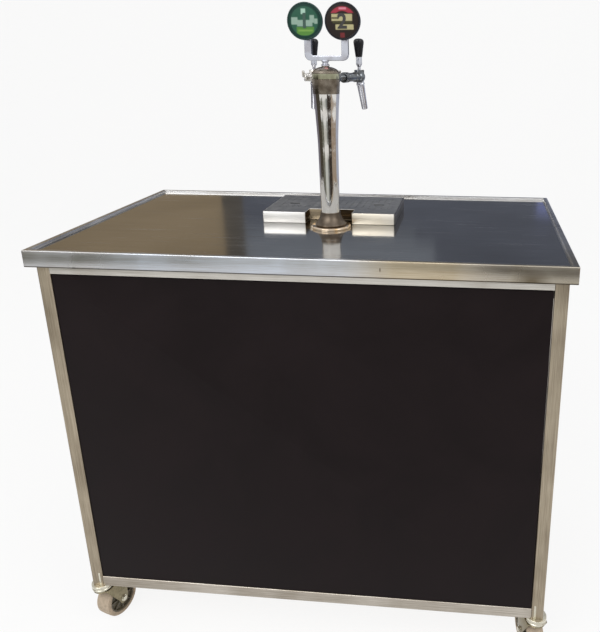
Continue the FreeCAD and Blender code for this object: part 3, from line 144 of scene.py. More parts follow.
def rounded(corners, radius, closed=False, steps=4):
    """Polyline whose corners are arcs.

    Round corner C, from A to B, a point is ((1-t)^2 A + 2t(1-t)w C + t^2 B) over
    ((1-t)^2 + 2t(1-t)w + t^2), where w is the cosine of half the turn: a true arc.
    """
    corners = np.asarray(corners, float)
    radius = np.broadcast_to(np.asarray(radius, float), len(corners))[:, None]
    back = np.roll(corners, 1, 0) - corners
    ahead = np.roll(corners, -1, 0) - corners
    back_size = np.linalg.norm(back, axis=1, keepdims=True)
    ahead_size = np.linalg.norm(ahead, axis=1, keepdims=True)
    back, ahead = back / back_size, ahead / ahead_size
    half = np.arccos(np.clip(-(back * ahead).sum(1, keepdims=True), -1, 1)) / 2
    reach = np.minimum(radius * np.tan(half), 0.49 * np.minimum(back_size, ahead_size))
    start = (corners + back * reach)[:, None]
    end = (corners + ahead * reach)[:, None]
    t = np.linspace(0, 1, steps + 1)[:, None]
    first, middle, last = (1 - t) ** 2, 2 * t * (1 - t) * np.cos(half)[:, None], t ** 2
    curve = (first * start + middle * corners[:, None] + last * end) / (first + middle + last)
    if closed:
        return curve.reshape(-1, corners.shape[1])
    return np.vstack([corners[:1], curve[1:-1].reshape(-1, corners.shape[1]), corners[-1:]])


def distinct(line):
    """Polyline without repeated points."""
    far = np.linalg.norm(np.diff(line, axis=0), axis=1) > 1e-7
    return line[np.append(True, far)]


def profile(corners, radius, steps=4):
    """Rounded polyline in millimetres, turned to metres, without repeated points."""
    corners, radius = np.array(corners, float) * MM, np.asarray(radius, float) * MM
    return distinct(rounded(corners, radius, steps=steps))


def rod(radius, low, high, ease):
    """Profile of a plain round rod in millimetres, with its two edges eased."""
    return profile([(0, low), (radius, low), (radius, high), (0, high)], [0, ease, ease, 0])


def stack(corners, radii, levels, axis="z", steps=4):
    """Rows of a piece whose outline is set in by a distance at each level.

    Each corner moves along its mitre, by the inset times the sum of its edges' inward normals
    over one plus their cosine, and becomes an arc. The arc's radius shrinks by the inset where
    the outline turns left and grows by it where the outline turns right.
    """
    corners = np.asarray(corners, float)
    edge = np.roll(corners, -1, 0) - corners
    edge /= np.linalg.norm(edge, axis=1, keepdims=True)
    normal = edge[:, ::-1] * (-1, 1)
    before = np.roll(normal, 1, 0)
    mitre = (normal + before) / (1 + (normal * before).sum(1, keepdims=True))
    last = np.roll(edge, 1, 0)
    turn = np.sign(last[:, 0] * edge[:, 1] - last[:, 1] * edge[:, 0])
    rows = []
    for inset, level in levels:
        radius = np.maximum(np.asarray(radii) - turn * inset, SHARPEST)
        ring = rounded(corners + inset * mitre, radius, closed=True, steps=steps)
        rows.append(np.column_stack([ring, np.full(len(ring), level)]))
    return np.array(rows)[..., AXES[axis]]


def rectangle(low, high):
    """Corners of an upright rectangle, counter-clockwise."""
    return np.array([low, (high[0], low[1]), high, (low[0], high[1])], float)


def lathe(line, axis="z", centre=(0, 0, 0), steps=ROUND_STEPS):
    """Rows of a turned piece: each point (radius, level) is a ring of radius times the cosine
    and sine of the turn, at its level along the axis."""
    turn = np.linspace(0, 2 * np.pi, steps, endpoint=False)
    line = np.asarray(line, float)
    across = line[:, :1, None] * np.column_stack([np.cos(turn), np.sin(turn)])
    level = np.broadcast_to(line[:, 1:, None], across.shape[:2] + (1,))
    return np.concatenate([across, level], -1)[..., AXES[axis]] + np.asarray(centre)


def signed_volume(points, faces):
    """Six times the volume under fans of triangles, positive where faces point outwards."""
    total = 0.0
    for block in faces:
        for corner in range(1, block.shape[1] - 1):
            a, b, c = points[block[:, 0]], points[block[:, corner]], points[block[:, corner + 1]]
            total += np.einsum("ij,ij->", a, np.cross(b, c))
    return total


def shell(rows, low="flat", high="flat", wrap=False):
    """Closed shell over rows of points: columns are joined round, and rows in order.

    With wrap the last row joins the first. Otherwise an end is closed by one flat face, or, as a
    pole, its row shrinks to one point with a fan of triangles. Faces are turned to point outwards.
    """
    rows = np.asarray(rows, float)
    poles = [] if wrap else [end for end, kind in ((0, low), (-1, high)) if kind == "pole"]
    kept = rows[(0 in poles):len(rows) - (-1 in poles)]
    count, around = kept.shape[:2]
    index = np.arange(count * around).reshape(count, around)
    below = index if wrap else index[:-1]
    above = np.roll(index, -1, 0) if wrap else index[1:]
    quads = np.stack([below, np.roll(below, -1, 1), np.roll(above, -1, 1), above], -1)
    points, faces = kept.reshape(-1, 3), [quads.reshape(-1, 4)]
    for end, kind in () if wrap else ((0, low), (-1, high)):
        ring = index[end][::-1] if end == 0 else index[end]
        if kind == "pole":
            tip = np.full(around, len(points))
            points = np.vstack([points, rows[end].mean(0)])
            faces.append(np.stack([ring, np.roll(ring, -1), tip], -1))
        else:
            faces.append(ring[None])
    if signed_volume(points - points.mean(0), faces) < 0:
        faces = [block[:, ::-1] for block in faces]
    return points, faces


def ringed(line, **place):
    """Shell of a turned piece that is closed on its axis at both ends."""
    return shell(lathe(line, **place), "pole", "pole")


def hoop(line, **place):
    """Shell of a turned ring, whose profile is a closed loop."""
    return shell(lathe(line, **place), wrap=True)


def turned(shells, angle, origin=(0, 0, 0), axis="z"):
    """Shells turned about an axis by an angle and then moved. The matrix for Z, rolled round by
    one and by two, is the one for X and for Y."""
    c, s = math.cos(angle), math.sin(angle)
    matrix = np.array([[c, s, 0], [-s, c, 0], [0, 0, 1]])
    matrix = np.roll(matrix, 1 + "xyz".index(axis), (0, 1))
    return [(points @ matrix + np.asarray(origin), faces) for points, faces in shells]


def eased(start, end, edge):
    """Insets and levels of an outline between two levels, rounded at both."""
    return rounded([(edge * 2, start), (0, start), (0, end), (edge * 2, end)], edge)[1:-1]


def plate(low, high, axis="z", edge=0.5 * MM, corner=1 * MM):
    """Shell of a plate between two corners, with rounded edges and corners. Its thickness runs
    along the axis."""
    low, high = np.asarray(low, float), np.asarray(high, float)
    plan = [number for number in range(3) if number != "xyz".index(axis)]
    levels = eased(low["xyz".index(axis)], high["xyz".index(axis)], edge)
    return shell(stack(rectangle(low[plan], high[plan]), corner, levels, axis))


def hex_head(radius, height, axis="z", centre=(0, 0, 0), chamfer=0.8 * MM):
    """Shell of a hexagon bolt head or nut, chamfered at both faces."""
    turn = np.linspace(0, 2 * np.pi, 6, endpoint=False)
    corners = radius * np.column_stack([np.cos(turn), np.sin(turn)])
    levels = [(chamfer, 0), (0, chamfer * 0.6), (0, height - chamfer * 0.6), (chamfer, height)]
    return shell(stack(corners, 0.3 * MM, levels, axis, 2) + np.asarray(centre))


# ------------------------------------------------------------------- pieces

def read(rows, name, width=1):
    """One attribute of a mesh's faces, corners or points: numbers, or rows of coordinates."""
    values = np.zeros(len(rows) * width, int if width == 1 else float)
    rows.foreach_get(name, values)
    return values if width == 1 else values.reshape(-1, width)


def grain_map(mesh, along):
    """UV map "grain" in metres: each face is laid flat by the largest part of its normal, u runs
    along the grain and v across it."""
    facing = np.abs(read(mesh.polygons, "normal", 3)).argmax(1)
    facing = np.repeat(facing, read(mesh.polygons, "loop_total"))
    place = read(mesh.vertices, "co", 3)[read(mesh.loops, "vertex_index")]
    wanted = "xyz".index(along)
    first = np.array([wanted if wanted != axis else (1, 0, 0)[axis] for axis in range(3)])
    second = 3 - np.arange(3) - first
    every = np.arange(len(place))
    spots = np.column_stack([place[every, first[facing]], place[every, second[facing]]])
    mesh.uv_layers.new(name="grain").data.foreach_set("uv", spots.ravel())


def dress(item, body, nodes=()):
    """Rides a piece on its body and hides the CAD nodes that it stands for."""
    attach(item, body)
    if nodes:
        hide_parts(*nodes)
    return item


def placed(name, data):
    """New object in the scene for a mesh, a curve, a lamp or a camera."""
    item = bpy.data.objects.new(name, data)
    bpy.context.scene.collection.objects.link(item)
    return item


def skin(name, points, faces, material):
    """New object of smooth faces with one finish."""
    mesh = bpy.data.meshes.new(name)
    mesh.from_pydata(np.asarray(points).tolist(), [], faces)
    mesh.shade_smooth()
    mesh.materials.append(material)
    return placed(name, mesh)


def piece(name, shells, material, body="root", nodes=(), grain="x"):
    """Object of one or more closed shells, with its place in its mesh."""
    points, faces, start = [], [], 0
    for shape, blocks in shells:
        points.append(shape)
        faces += [face for block in blocks for face in (block + start).tolist()]
        start += len(shape)
    item = skin(name, np.vstack(points), faces, material)
    item.data.set_sharp_from_angle(angle=SHARP_ANGLE)
    grain_map(item.data, grain)
    return dress(item, body, nodes)


def sort_faces(item, rule, *materials):
    """Adds finishes to a piece, and gives each face the one whose number the rule works out from
    the middles of the faces."""
    mesh = item.data
    for material in materials:
        mesh.materials.append(material)
    number = rule(*read(mesh.polygons, "center", 3).T).astype(np.int32)
    mesh.polygons.foreach_set("material_index", number)


def paint(node_name, material):
    """Gives a CAD node that stays its finish."""
    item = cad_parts[node_name]
    if not item.data.materials:
        item.data.materials.append(None)
    for slot in item.material_slots:
        slot.material = material


def lettering(name, text, height, thickness, centre, material):
    """Raised figures that face -Y, made a mesh, merged, and centred on a point. Their strokes are
    thickened by a 36th of their height."""
    curve = bpy.data.curves.new(name, "FONT")
    curve.body = text
    curve.size = height
    curve.extrude = thickness / 2
    curve.offset = height / 36
    carrier = placed(name + "_carrier", curve)
    mesh = bpy.data.meshes.new_from_object(carrier)
    bpy.data.objects.remove(carrier)
    bpy.data.curves.remove(curve)
    mesh.transform(Matrix.Rotation(math.radians(90), 4, "X"))
    work = bmesh.new()
    work.from_mesh(mesh)
    bmesh.ops.remove_doubles(work, verts=work.verts, dist=1e-6)
    work.to_mesh(mesh)
    work.free()
    place = read(mesh.vertices, "co", 3)
    place += np.asarray(centre) - (place.min(0) + place.max(0)) / 2
    mesh.vertices.foreach_set("co", place.ravel())
    mesh.materials.clear()
    mesh.materials.append(material)
    return dress(placed(name, mesh), "root")


# ----------------------------------------------------------------- finishes

def fill(tree, made, values):
    """Sets a node's properties and inputs by name. A socket is linked, and in0, in1 and so on
    stand for inputs that share a name."""
    for word, value in values.items():
        if word in made.bl_rna.properties:
            setattr(made, word, value)
            continue
        key = int(word[2:]) if word[2:].isdigit() else word.replace("_", " ")
        if isinstance(value, bpy.types.NodeSocket):
            tree.links.new(value, made.inputs[key])
        else:
            made.inputs[key].default_value = value
    return made


def node(tree, kind, output=0, **values):
    """Adds a shader node with its settings and links, and gives one of its outputs."""
    return fill(tree, tree.nodes.new("ShaderNode" + kind), values).outputs[output]


def tone(word, times=1.0, plus=0.0):
    """Colour that a property holds or a hex value gives, its light multiplied and lifted."""
    if word.startswith("#"):
        colour = linear(word)
    else:
        colour = getattr(bpy.context.scene.counter_colours, word)
    return (*(min(1.0, part * times + plus) for part in colour[:3]), 1.0)


def new_material(name):
    """Empty material, and its tree."""
    material = bpy.data.materials.new(name)
    material.use_nodes = True
    return material, material.node_tree


def finish(**values):
    """Turns a function that adds a pattern to a tree into one that gives a material.

    The function gets the tree, Object coordinates and the material's name, and returns inputs of
    the shader, which come on top of the values here. A name is made once, so pieces share it.
    """
    def wrap(pattern):
        made = {}

        def kept(name, *arguments):
            if name not in made:
                made[name], tree = new_material(name)
                place = node(tree, "TexCoord", "Object")
                inputs = pattern(tree, place, name, *arguments)
                fill(tree, tree.nodes["Principled BSDF"], {**values, **inputs})
            return made[name]

        return kept

    return wrap


# Brushed steels: light and dark colour, least and most roughness, and the width of a streak in
# millimetres. The low rails are the plain tube; the high ones are a lighter copy of it, a painted
# highlight, and the posts a darker, tanner copy, a painted brown reflection. The notch of the tray
# has a brown copy, a painted reflection of the column's brass foot.
BRUSHED = {
    "brushed_stainless_tube": ("frame_light", "frame_dark", 0.3, 0.46, 1.6),
    "brushed_stainless_rail": ("#dddad4", "#aca69c", 0.3, 0.42, 1.6),
    "brushed_stainless_post": ("#b9ad99", "#7f7362", 0.3, 0.46, 1.6),
    "brushed_stainless_apron": ("apron_light", "apron_dark", 0.24, 0.36, 1.8),
    "brushed_stainless_tray": ("tray_light", "#cdcbc6", 0.4, 0.5, 1.2),
    "rubbed_stainless_notch": ("#a3957f", "#6e604b", 0.12, 0.2, 1.2),
}

# Middle, reach, strength and tint of each mark on the apron, in metres: a painted bluish
# reflection on the left, a painted gold reflection right of the middle, painted shade at the right
# end, a slightly darker back rim, the painted shade of a small hole, and a thin darker upright
# tick.
APRON_STAINS = (((-0.17, -0.35, 1.03), (0.42, 0.42, 0.42), 1.6, "#f2f7ff"),
                ((0.28, -0.35, 1.035), (0.17, 0.17, 0.17), 1.6, "#f6e6c8"),
                ((0.55, -0.35, 1.02), (0.19, 0.19, 0.19), 1.8, "#dad2c2"),
                ((0.505, -0.35, 1.015), (0.045, 0.045, 0.03), 1.2, "#aaa295"),
                ((0, 0.35, 1.05), (0.9, 0.03, 0.03), 2.5, "#dfdfdf"),
                ((-0.483, -0.35, 1.009), (0.007, 0.007, 0.007), 3, "#4a4440"),
                ((0.191, -0.35, 1.031), (0.002, 0.02, 0.006), 2, "#a49e98"))

# Platings: bright and second colour, least and most share of the second one, and the roughness of
# clean and of spotted metal. Cleaning wears the foot plate through to the brass. The bracket,
# levers and spouts are rougher, with a painted pale bluish grey reflection. The cap and the
# column's head have a painted brown reflection, the collar under the cap a painted olive one, and
# the foot's bell the darkest painted reflection. The right tap's shank and body are a darker copy
# of the chrome: a painted dark reflection.
PLATINGS = {
    "bright_chrome": ("chrome", "brass", 0.0, 0.12, 0.035, 0.11),
    "brass_worn_bare": ("chrome", "brass", 0.55, 1.0, 0.035, 0.11),
    "dulled_chrome": ("#c3c6cf", "#a9a7ad", 0.0, 0.8, 0.12, 0.24),
    "tarnished_chrome": ("#938a7e", "#50463a", 0.2, 0.85, 0.22, 0.36),
    "filmed_chrome": ("#a3a48c", "#77745e", 0.1, 0.9, 0.1, 0.2),
    "darkened_chrome": ("#6c6257", "#3a3027", 0.2, 0.85, 0.38, 0.5),
    "smoked_chrome": ("#73787d", "#504e4c", 0.1, 0.9, 0.035, 0.11),
}

# Finishes whose colour and gloss drift in one cloud: dark and light colour, the cloud's width in
# millimetres and its detail, least and most roughness, and the shader's own values.
CLOUDED = {
    # Turned brass, gone slightly brown.
    "machined_brass": ("#6f5531", "brass", 12, 3.0, 0.18, 0.45, {"Metallic": 1.0}),
    # Rolled aluminium fins and cast block as they left the mill: pale and fairly dull.
    "mill_aluminium": ("#8c8d8f", "#cfd0d2", 8, 3.0, 0.3, 0.5, {"Metallic": 1.0}),
    # Hot-rolled flat bar, pickled: a dull even grey.
    "pickled_flat_bar": ("#85817b", "#aaa69f", 40, 4.0, 0.4, 0.6, {"Metallic": 1.0}),
    # Copper plate, in clouds of bright and red-brown.
    "copper_plated_screw": ("#6a4744", "#a07c78", 3, 2.0, 0.2, 0.4, {"Metallic": 1.0}),
    # Beer line of food-grade polythene: milky, slightly clear and smooth.
    "milky_polythene": ("#c9c6b4", "#e6e4da", 25, 2.0, 0.22, 0.36,
                        {"Subsurface_Weight": 0.3, "Subsurface_Scale": 2 * MM}),
}

# Moulded plastics and inks: colour, least and most roughness, clear coat and specular level. The
# cooler's polyamide is satin, the badges' shells are lacquered to a deep gloss, the phenolic grips
# are the blackest and smooth, the wheels' polypropylene is brown-grey and matt, and the inks are
# thick and flat, the raised ones with a little gloss.
MOULDED = {
    "moulded_black_polyamide": ("#1b1b1c", 0.35, 0.5, 0.0, 0.5),
    "moulded_green_gloss": ("#14322d", 0.12, 0.22, 0.2, 0.2),
    "moulded_black_gloss": ("#12131b", 0.12, 0.22, 0.2, 0.2),
    "moulded_black_phenolic": ("#0c0c11", 0.2, 0.32, 0.1, 0.25),
    "moulded_grey_polypropylene": ("#544d3e", 0.4, 0.55, 0.0, 0.5),
    "raised_ink_left": ("#17382c", 0.25, 0.35, 0.3, 0.5),
    "raised_ink_right": ("#14100e", 0.25, 0.35, 0.3, 0.5),
    "white_marking_ink": ("#e4e4e0", 0.4, 0.5, 0.0, 0.5),
    "black_marking_ink": ("#202124", 0.4, 0.5, 0.0, 0.5),
}

# Zinc plates: light and dark colour. The forks have gone brown with damp.
ZINC = {
    "yellow_passivated_zinc": ("#eae6d8", "#b1ac99"),
    "browned_zinc": ("#a1977c", "#5c5440"),
}

# Print of each badge in shares of the face's radius: its field, and the layers over it, each
# with its kind, its least and most x, its least and most z, and its colour.
PRINTS = {
    "screen_print_left": ("badge_green", (
        ("box", -0.5, 0.6, -0.84, -0.34, "badge_lime"),
        ("box", -0.4, 0.5, -0.6, -0.5, "#739a4b"),
        ("box", -0.82, -0.42, -0.2, 0.22, "#879f91"),
        ("box", -0.46, 0.5, -0.3, 0.06, "#879f91"),
        ("box", 0.34, 0.62, -0.1, 0.34, "#879f91"),
        ("box", 0.62, 0.82, -0.16, 0.14, "#879f91"),
        ("box", -0.2, 0.08, 0.4, 0.72, "#9cbcab"),
        ("ring", 0.86, 1.2, -1.2, 1.2, "#12332b"))),
    "screen_print_right": ("#1f1815", (
        ("ring", 0.58, 0.84, 0.46, 1.2, "badge_red"),
        ("box", -0.2, 0.26, 0.66, 0.78, "#c57a88"),
        ("box", -0.66, 0.62, 0.0, 0.4, "badge_cream"),
        ("box", -0.66, -0.2, 0.12, 0.22, "#4a4632"),
        ("box", -0.6, 0.62, -0.14, -0.04, "#3c3c24"),
        ("box", -0.42, 0.7, -0.5, -0.2, "badge_cream"),
        ("box", -0.14, 0.14, -0.96, -0.68, "#6a2a2c"))),
}


def look(tree, share, dark, light, gloss, rough, span=(0, 1), relief=None, lift=(0, 0)):
    """Shader inputs that most finishes have: the dark and the light colour mixed by a share,
    roughness between two values over a span of the gloss pattern, and bump from the relief, whose
    lift is its strength and its depth in millimetres."""
    inputs = {
        "Base_Color": node(tree, "Mix", 2, data_type="RGBA", in0=share, in6=dark, in7=light),
        "Roughness": node(tree, "MapRange", Value=gloss, From_Min=span[0], From_Max=span[1],
                          To_Min=rough[0], To_Max=rough[1])}
    if relief is not None:
        inputs["Normal"] = node(tree, "Bump", Height=relief, Strength=lift[0],
                                Distance=lift[1] * MM)
    return inputs


@finish(Metallic=1.0, Anisotropic=0.45)
def brushed_steel(tree, place, name, stains=()):
    """Stainless steel brushed with 180 grit: long fine lines along the grain, which stretch the
    highlights across it, and duller patches where hands have been. Real lines are 0.1 mm wide;
    they are drawn as wide as the streak, so that they show. Each tint, a stain or painted light
    and
    shade, is a soft ellipsoid: its middle, its reach along the axes, its strength and its colour."""
    light, dark, *rough, streak = BRUSHED[name]
    grain = node(tree, "UVMap", uv_map="grain")
    lines = node(tree, "Mapping", Vector=grain, Scale=(1 / (140 * MM), 1 / (streak * MM), 1))
    streaks = node(tree, "TexNoise", noise_dimensions="2D", Vector=lines, Scale=1.0,
                   Detail=5.0, Roughness=0.7)
    patches = node(tree, "TexNoise", Vector=place, Scale=1 / (180 * MM), Detail=3.0,
                   Roughness=0.6)
    both = node(tree, "Mix", data_type="FLOAT", in0=0.45, in2=streaks, in3=patches)
    share = node(tree, "MapRange", Value=both, From_Min=0.36, From_Max=0.64)
    inputs = look(tree, share, tone(dark), tone(light), patches, rough, (0.3, 0.7), streaks,
                  (0.25, 0.03))
    for middle, reach, strength, tint in stains:
        scale = 1 / np.array(reach)
        around = node(tree, "Mapping", Vector=place, Scale=scale.tolist(),
                      Location=(-scale * middle).tolist())
        ball = node(tree, "TexGradient", "Fac", gradient_type="SPHERICAL", Vector=around)
        cover = node(tree, "MapRange", Value=ball, From_Max=1 / strength)
        inputs["Base_Color"] = node(tree, "Mix", 2, data_type="RGBA", blend_type="MULTIPLY",
                                    in0=cover, in6=inputs["Base_Color"], in7=tone(tint))
    along = node(tree, "Tangent", direction_type="UV_MAP", uv_map="grain")
    return {**inputs, "Tangent": along}


@finish(Metallic=1.0, Anisotropic=0.3)
def rolled_steel(tree, place, name):
    """Bright rolled stainless sheet: almost a mirror, with faint grain along its length, slow
    waves from the rolls and hair-thin scratches from glasses pushed about."""
    grain = node(tree, "UVMap", uv_map="grain")
    lines = node(tree, "Mapping", Vector=grain, Scale=(1 / (300 * MM), 1 / (2.5 * MM), 1))
    streaks = node(tree, "TexNoise", noise_dimensions="2D", Vector=lines, Scale=1.0,
                   Detail=4.0, Roughness=0.65)
    slant = node(tree, "Mapping", Vector=grain, Rotation=(0, 0, math.radians(38)),
                 Scale=(1 / (260 * MM), 1 / (5 * MM), 1))
    scratches = node(tree, "TexNoise", noise_dimensions="2D", Vector=slant, Scale=1.0,
                     Detail=2.0, Roughness=0.5)
    scratch = node(tree, "MapRange", Value=scratches, From_Min=0.66, From_Max=0.72)
    patches = node(tree, "TexNoise", Vector=place, Scale=1 / (260 * MM), Detail=2.0)
    waves = node(tree, "TexNoise", Vector=place, Scale=1 / (220 * MM), Detail=0.0)
    both = node(tree, "Mix", data_type="FLOAT", in0=0.5, in2=streaks, in3=patches)
    share = node(tree, "MapRange", Value=both, From_Min=0.36, From_Max=0.64)
    inputs = look(tree, share, tone("top_dark"), tone("top_light"), both, (0.07, 0.14),
                  (0.35, 0.65))
    rough = node(tree, "Math", operation="MULTIPLY_ADD", in0=scratch, in1=0.16,
                 in2=inputs["Roughness"])
    slow = node(tree, "Bump", Height=waves, Strength=0.5, Distance=0.6 * MM)
    bump = node(tree, "Bump", Height=streaks, Strength=0.2, Distance=0.01 * MM, Normal=slow)
    along = node(tree, "Tangent", direction_type="UV_MAP", uv_map="grain")
    return {**inputs, "Roughness": rough, "Normal": bump, "Tangent": along}


@finish(Metallic=1.0, Anisotropic=0.3)
def tray_cover(tree, place, name):
    """Brushed cover plate of the tray, its grain along X and drawn 1.5 mm wide, with dried
    drops round its holes."""
    lines = node(tree, "Mapping", Vector=place,
                 Scale=(1 / (160 * MM), 1 / (1.5 * MM), 1 / (1.5 * MM)))
    streaks = node(tree, "TexNoise", Vector=lines, Scale=1.0, Detail=4.0, Roughness=0.65)
    drops = node(tree, "TexNoise", Vector=place, Scale=1 / (16 * MM), Detail=3.0)
    both = node(tree, "Mix", data_type="FLOAT", in0=0.4, in2=streaks, in3=drops)
    share = node(tree, "MapRange", Value=both, From_Min=0.36, From_Max=0.62)
    return look(tree, share, tone("#9a9894"), tone("#cbc9c5"), drops, (0.22, 0.4),
                relief=streaks, lift=(0.25, 0.03))


@finish(Metallic=1.0)
def plated_chrome(tree, place, name):
    """Chrome plate on brass: sharp reflections where it is bright, water spots that dull it, and a
    second
    colour in clouds: worn brass where the plating is thin, a painted reflection in the darker
    platings."""
    light, worn, least, most, *rough = PLATINGS[name]
    spots = node(tree, "TexNoise", Vector=place, Scale=1 / (9 * MM), Detail=3.0)
    cloud = node(tree, "TexNoise", Vector=place, Scale=1 / (28 * MM), Detail=2.0)
    share = node(tree, "MapRange", Value=cloud, From_Min=0.4, From_Max=0.65, To_Min=least,
                 To_Max=most)
    return look(tree, share, tone(light), tone(worn), spots, rough, (0.4, 0.7))


@finish()
def clouded(tree, place, name):
    """Finish whose colour and gloss follow one cloud pattern: lighter where it is rougher."""
    dark, light, size, detail, *rough, values = CLOUDED[name]
    cloud = node(tree, "TexNoise", Vector=place, Scale=1 / (size * MM), Detail=detail)
    return {**values, **look(tree, cloud, tone(dark), tone(light), cloud, rough)}


@finish(Metallic=0.9)
def zinc_plate(tree, place, name):
    """Zinc plate with a clear yellowish passivation: soft metal shine, mottled by grains of
    about 6 mm and darker in scuffs."""
    light, dark = ZINC[name]
    mottle = node(tree, "TexVoronoi", Vector=place, Scale=1 / (6 * MM), Randomness=1.0)
    scuff = node(tree, "TexNoise", Vector=place, Scale=1 / (15 * MM), Detail=4.0)
    both = node(tree, "Mix", data_type="FLOAT", in0=0.6, in2=mottle, in3=scuff)
    return look(tree, both, tone(dark), tone(light), scuff, (0.2, 0.42), relief=scuff,
                lift=(0.2, 0.05))


@finish(Specular_IOR_Level=0.08)
def satin_laminate(tree, place, name):
    """Compact laminate with a satin face: near black, fine pearl texture of 0.8 mm, and faint
    wiping marks that change its gloss."""
    pearl = node(tree, "TexNoise", Vector=place, Scale=1 / (0.8 * MM), Detail=1.0)
    wipes = node(tree, "TexNoise", Vector=place, Scale=1 / (230 * MM), Detail=4.0,
                 Roughness=0.6, Distortion=0.8)
    share = node(tree, "MapRange", Value=wipes, From_Min=0.35, From_Max=0.7)
    return look(tree, share, tone("panel"), tone("panel", 1.35), wipes, (0.42, 0.55),
                (0.3, 0.7), pearl, (0.12, 0.04))


@finish(Coat_Weight=0.25, Coat_Roughness=0.35)
def birch_plywood(tree, place, name):
    """Birch plywood with a thin varnish: 1.4 mm plies in two tones on its edges, and long pale
    grain along X on its faces."""
    stretched = node(tree, "Mapping", Vector=place,
                     Scale=(1 / (90 * MM), 1 / (5 * MM), 1 / (2.8 * MM)))
    grain = node(tree, "TexNoise", Vector=stretched, Scale=1.0, Detail=4.0, Distortion=0.4)
    height = node(tree, "SeparateXYZ", "Z", Vector=place)
    ply = node(tree, "Math", operation="PINGPONG", in0=height, in1=1.4 * MM)
    layer = node(tree, "MapRange", Value=ply, From_Min=0.5 * MM, From_Max=0.9 * MM)
    both = node(tree, "Mix", data_type="FLOAT", in0=0.45, in2=grain, in3=layer)
    return look(tree, both, tone("#8f6b43"), tone("#d3b585"), grain, (0.42, 0.62),
                relief=grain, lift=(0.3, 0.1))


@finish(Coat_Roughness=0.08)
def moulded_plastic(tree, place, name):
    """Injection-moulded plastic: even colour with slow flow marks, fine spark-eroded grain of
    0.5 mm, and gloss that varies with handling."""
    shade, *rough, coat, shine = MOULDED[name]
    flow = node(tree, "TexNoise", Vector=place, Scale=1 / (35 * MM), Detail=2.0)
    spark = node(tree, "TexNoise", Vector=place, Scale=1 / (0.5 * MM), Detail=1.0)
    inputs = look(tree, flow, tone(shade), tone(shade, 1.5, 0.002), flow, rough, (0.3, 0.7),
                  spark, (0.15, 0.02))
    return {**inputs, "Coat_Weight": coat, "Specular_IOR_Level": shine}


@finish(Specular_IOR_Level=0.35)
def grey_rubber(tree, place, name):
    """Non-marking thermoplastic rubber: matt, with floor dust rubbed into the tread."""
    dust = node(tree, "TexNoise", Vector=place, Scale=1 / (14 * MM), Detail=5.0,
                Roughness=0.65)
    share = node(tree, "MapRange", Value=dust, From_Min=0.35, From_Max=0.68)
    return look(tree, share, tone("tyre", 0.72), tone("tyre"), dust, (0.5, 0.8), relief=dust,
                lift=(0.3, 0.2))


@finish(Coat_Weight=0.2, Coat_Roughness=0.25)
def powder_coat(tree, place, name, shade):
    """Powder coat or stove enamel on steel sheet: even satin colour, slightly darker where grime
    has settled, with orange peel of about 2 mm."""
    peel = node(tree, "TexNoise", Vector=place, Scale=1 / (2 * MM), Detail=1.0)
    grime = node(tree, "TexNoise", Vector=place, Scale=1 / (120 * MM), Detail=4.0)
    share = node(tree, "MapRange", Value=grime, From_Min=0.35, From_Max=0.7)
    return look(tree, share, tone(shade), tone(shade, 0.82), peel, (0.34, 0.46), relief=peel,
                lift=(0.2, 0.05))


def band(tree, value, low, high, soft=0.03):
    """Mask that is one where a value lies between two bounds, with soft edges."""
    rise = node(tree, "MapRange", Value=value, From_Min=low - soft, From_Max=low + soft)
    fall = node(tree, "MapRange", Value=value, From_Min=high - soft, From_Max=high + soft)
    return node(tree, "Math", operation="SUBTRACT", use_clamp=True, in0=rise, in1=fall)


@finish(Coat_Weight=0.12, Coat_Roughness=0.04, Specular_IOR_Level=0.12)
def printed_face(tree, place, name, centre, radius):
    """Screen print under a clear domed resin, of boxes and rings of colour as its table says."""
    field, layers = PRINTS[name]
    local = node(tree, "Mapping", Vector=place, Scale=(1 / radius,) * 3,
                 Location=tuple(-part / radius for part in centre))
    across = node(tree, "SeparateXYZ", "X", Vector=local)
    up = node(tree, "SeparateXYZ", "Z", Vector=local)
    flat = node(tree, "VectorMath", operation="MULTIPLY", in0=local, in1=(1, 0, 1))
    far = node(tree, "VectorMath", "Value", operation="LENGTH", in0=flat)
    grain = node(tree, "TexNoise", Vector=place, Scale=1 / (3 * MM), Detail=2.0)
    colour = node(tree, "Mix", 2, data_type="RGBA", in0=grain, in6=tone(field),
                  in7=tone(field, 1.35))
    for kind, low_x, high_x, low_z, high_z, shade in layers:
        wide = band(tree, far if kind == "ring" else across, low_x, high_x)
        tall = band(tree, up, low_z, high_z)
        mask = node(tree, "Math", operation="MULTIPLY", in0=wide, in1=tall)
        colour = node(tree, "Mix", 2, data_type="RGBA", in0=mask, in6=colour, in7=tone(shade))
    rough = node(tree, "MapRange", Value=grain, To_Min=0.25, To_Max=0.4)
    return {"Base_Color": colour, "Roughness": rough}


# -------------------------------------------------------------------- counter

def corners_of(node_name):
    """Lowest and highest corner of a CAD node, as arrays."""
    low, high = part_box(node_name)
    return np.array(low), np.array(high)


def surface():
    """Height of the worktop's sunk surface, where the tray and the tower stand."""
    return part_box("drip_tray")[0].z


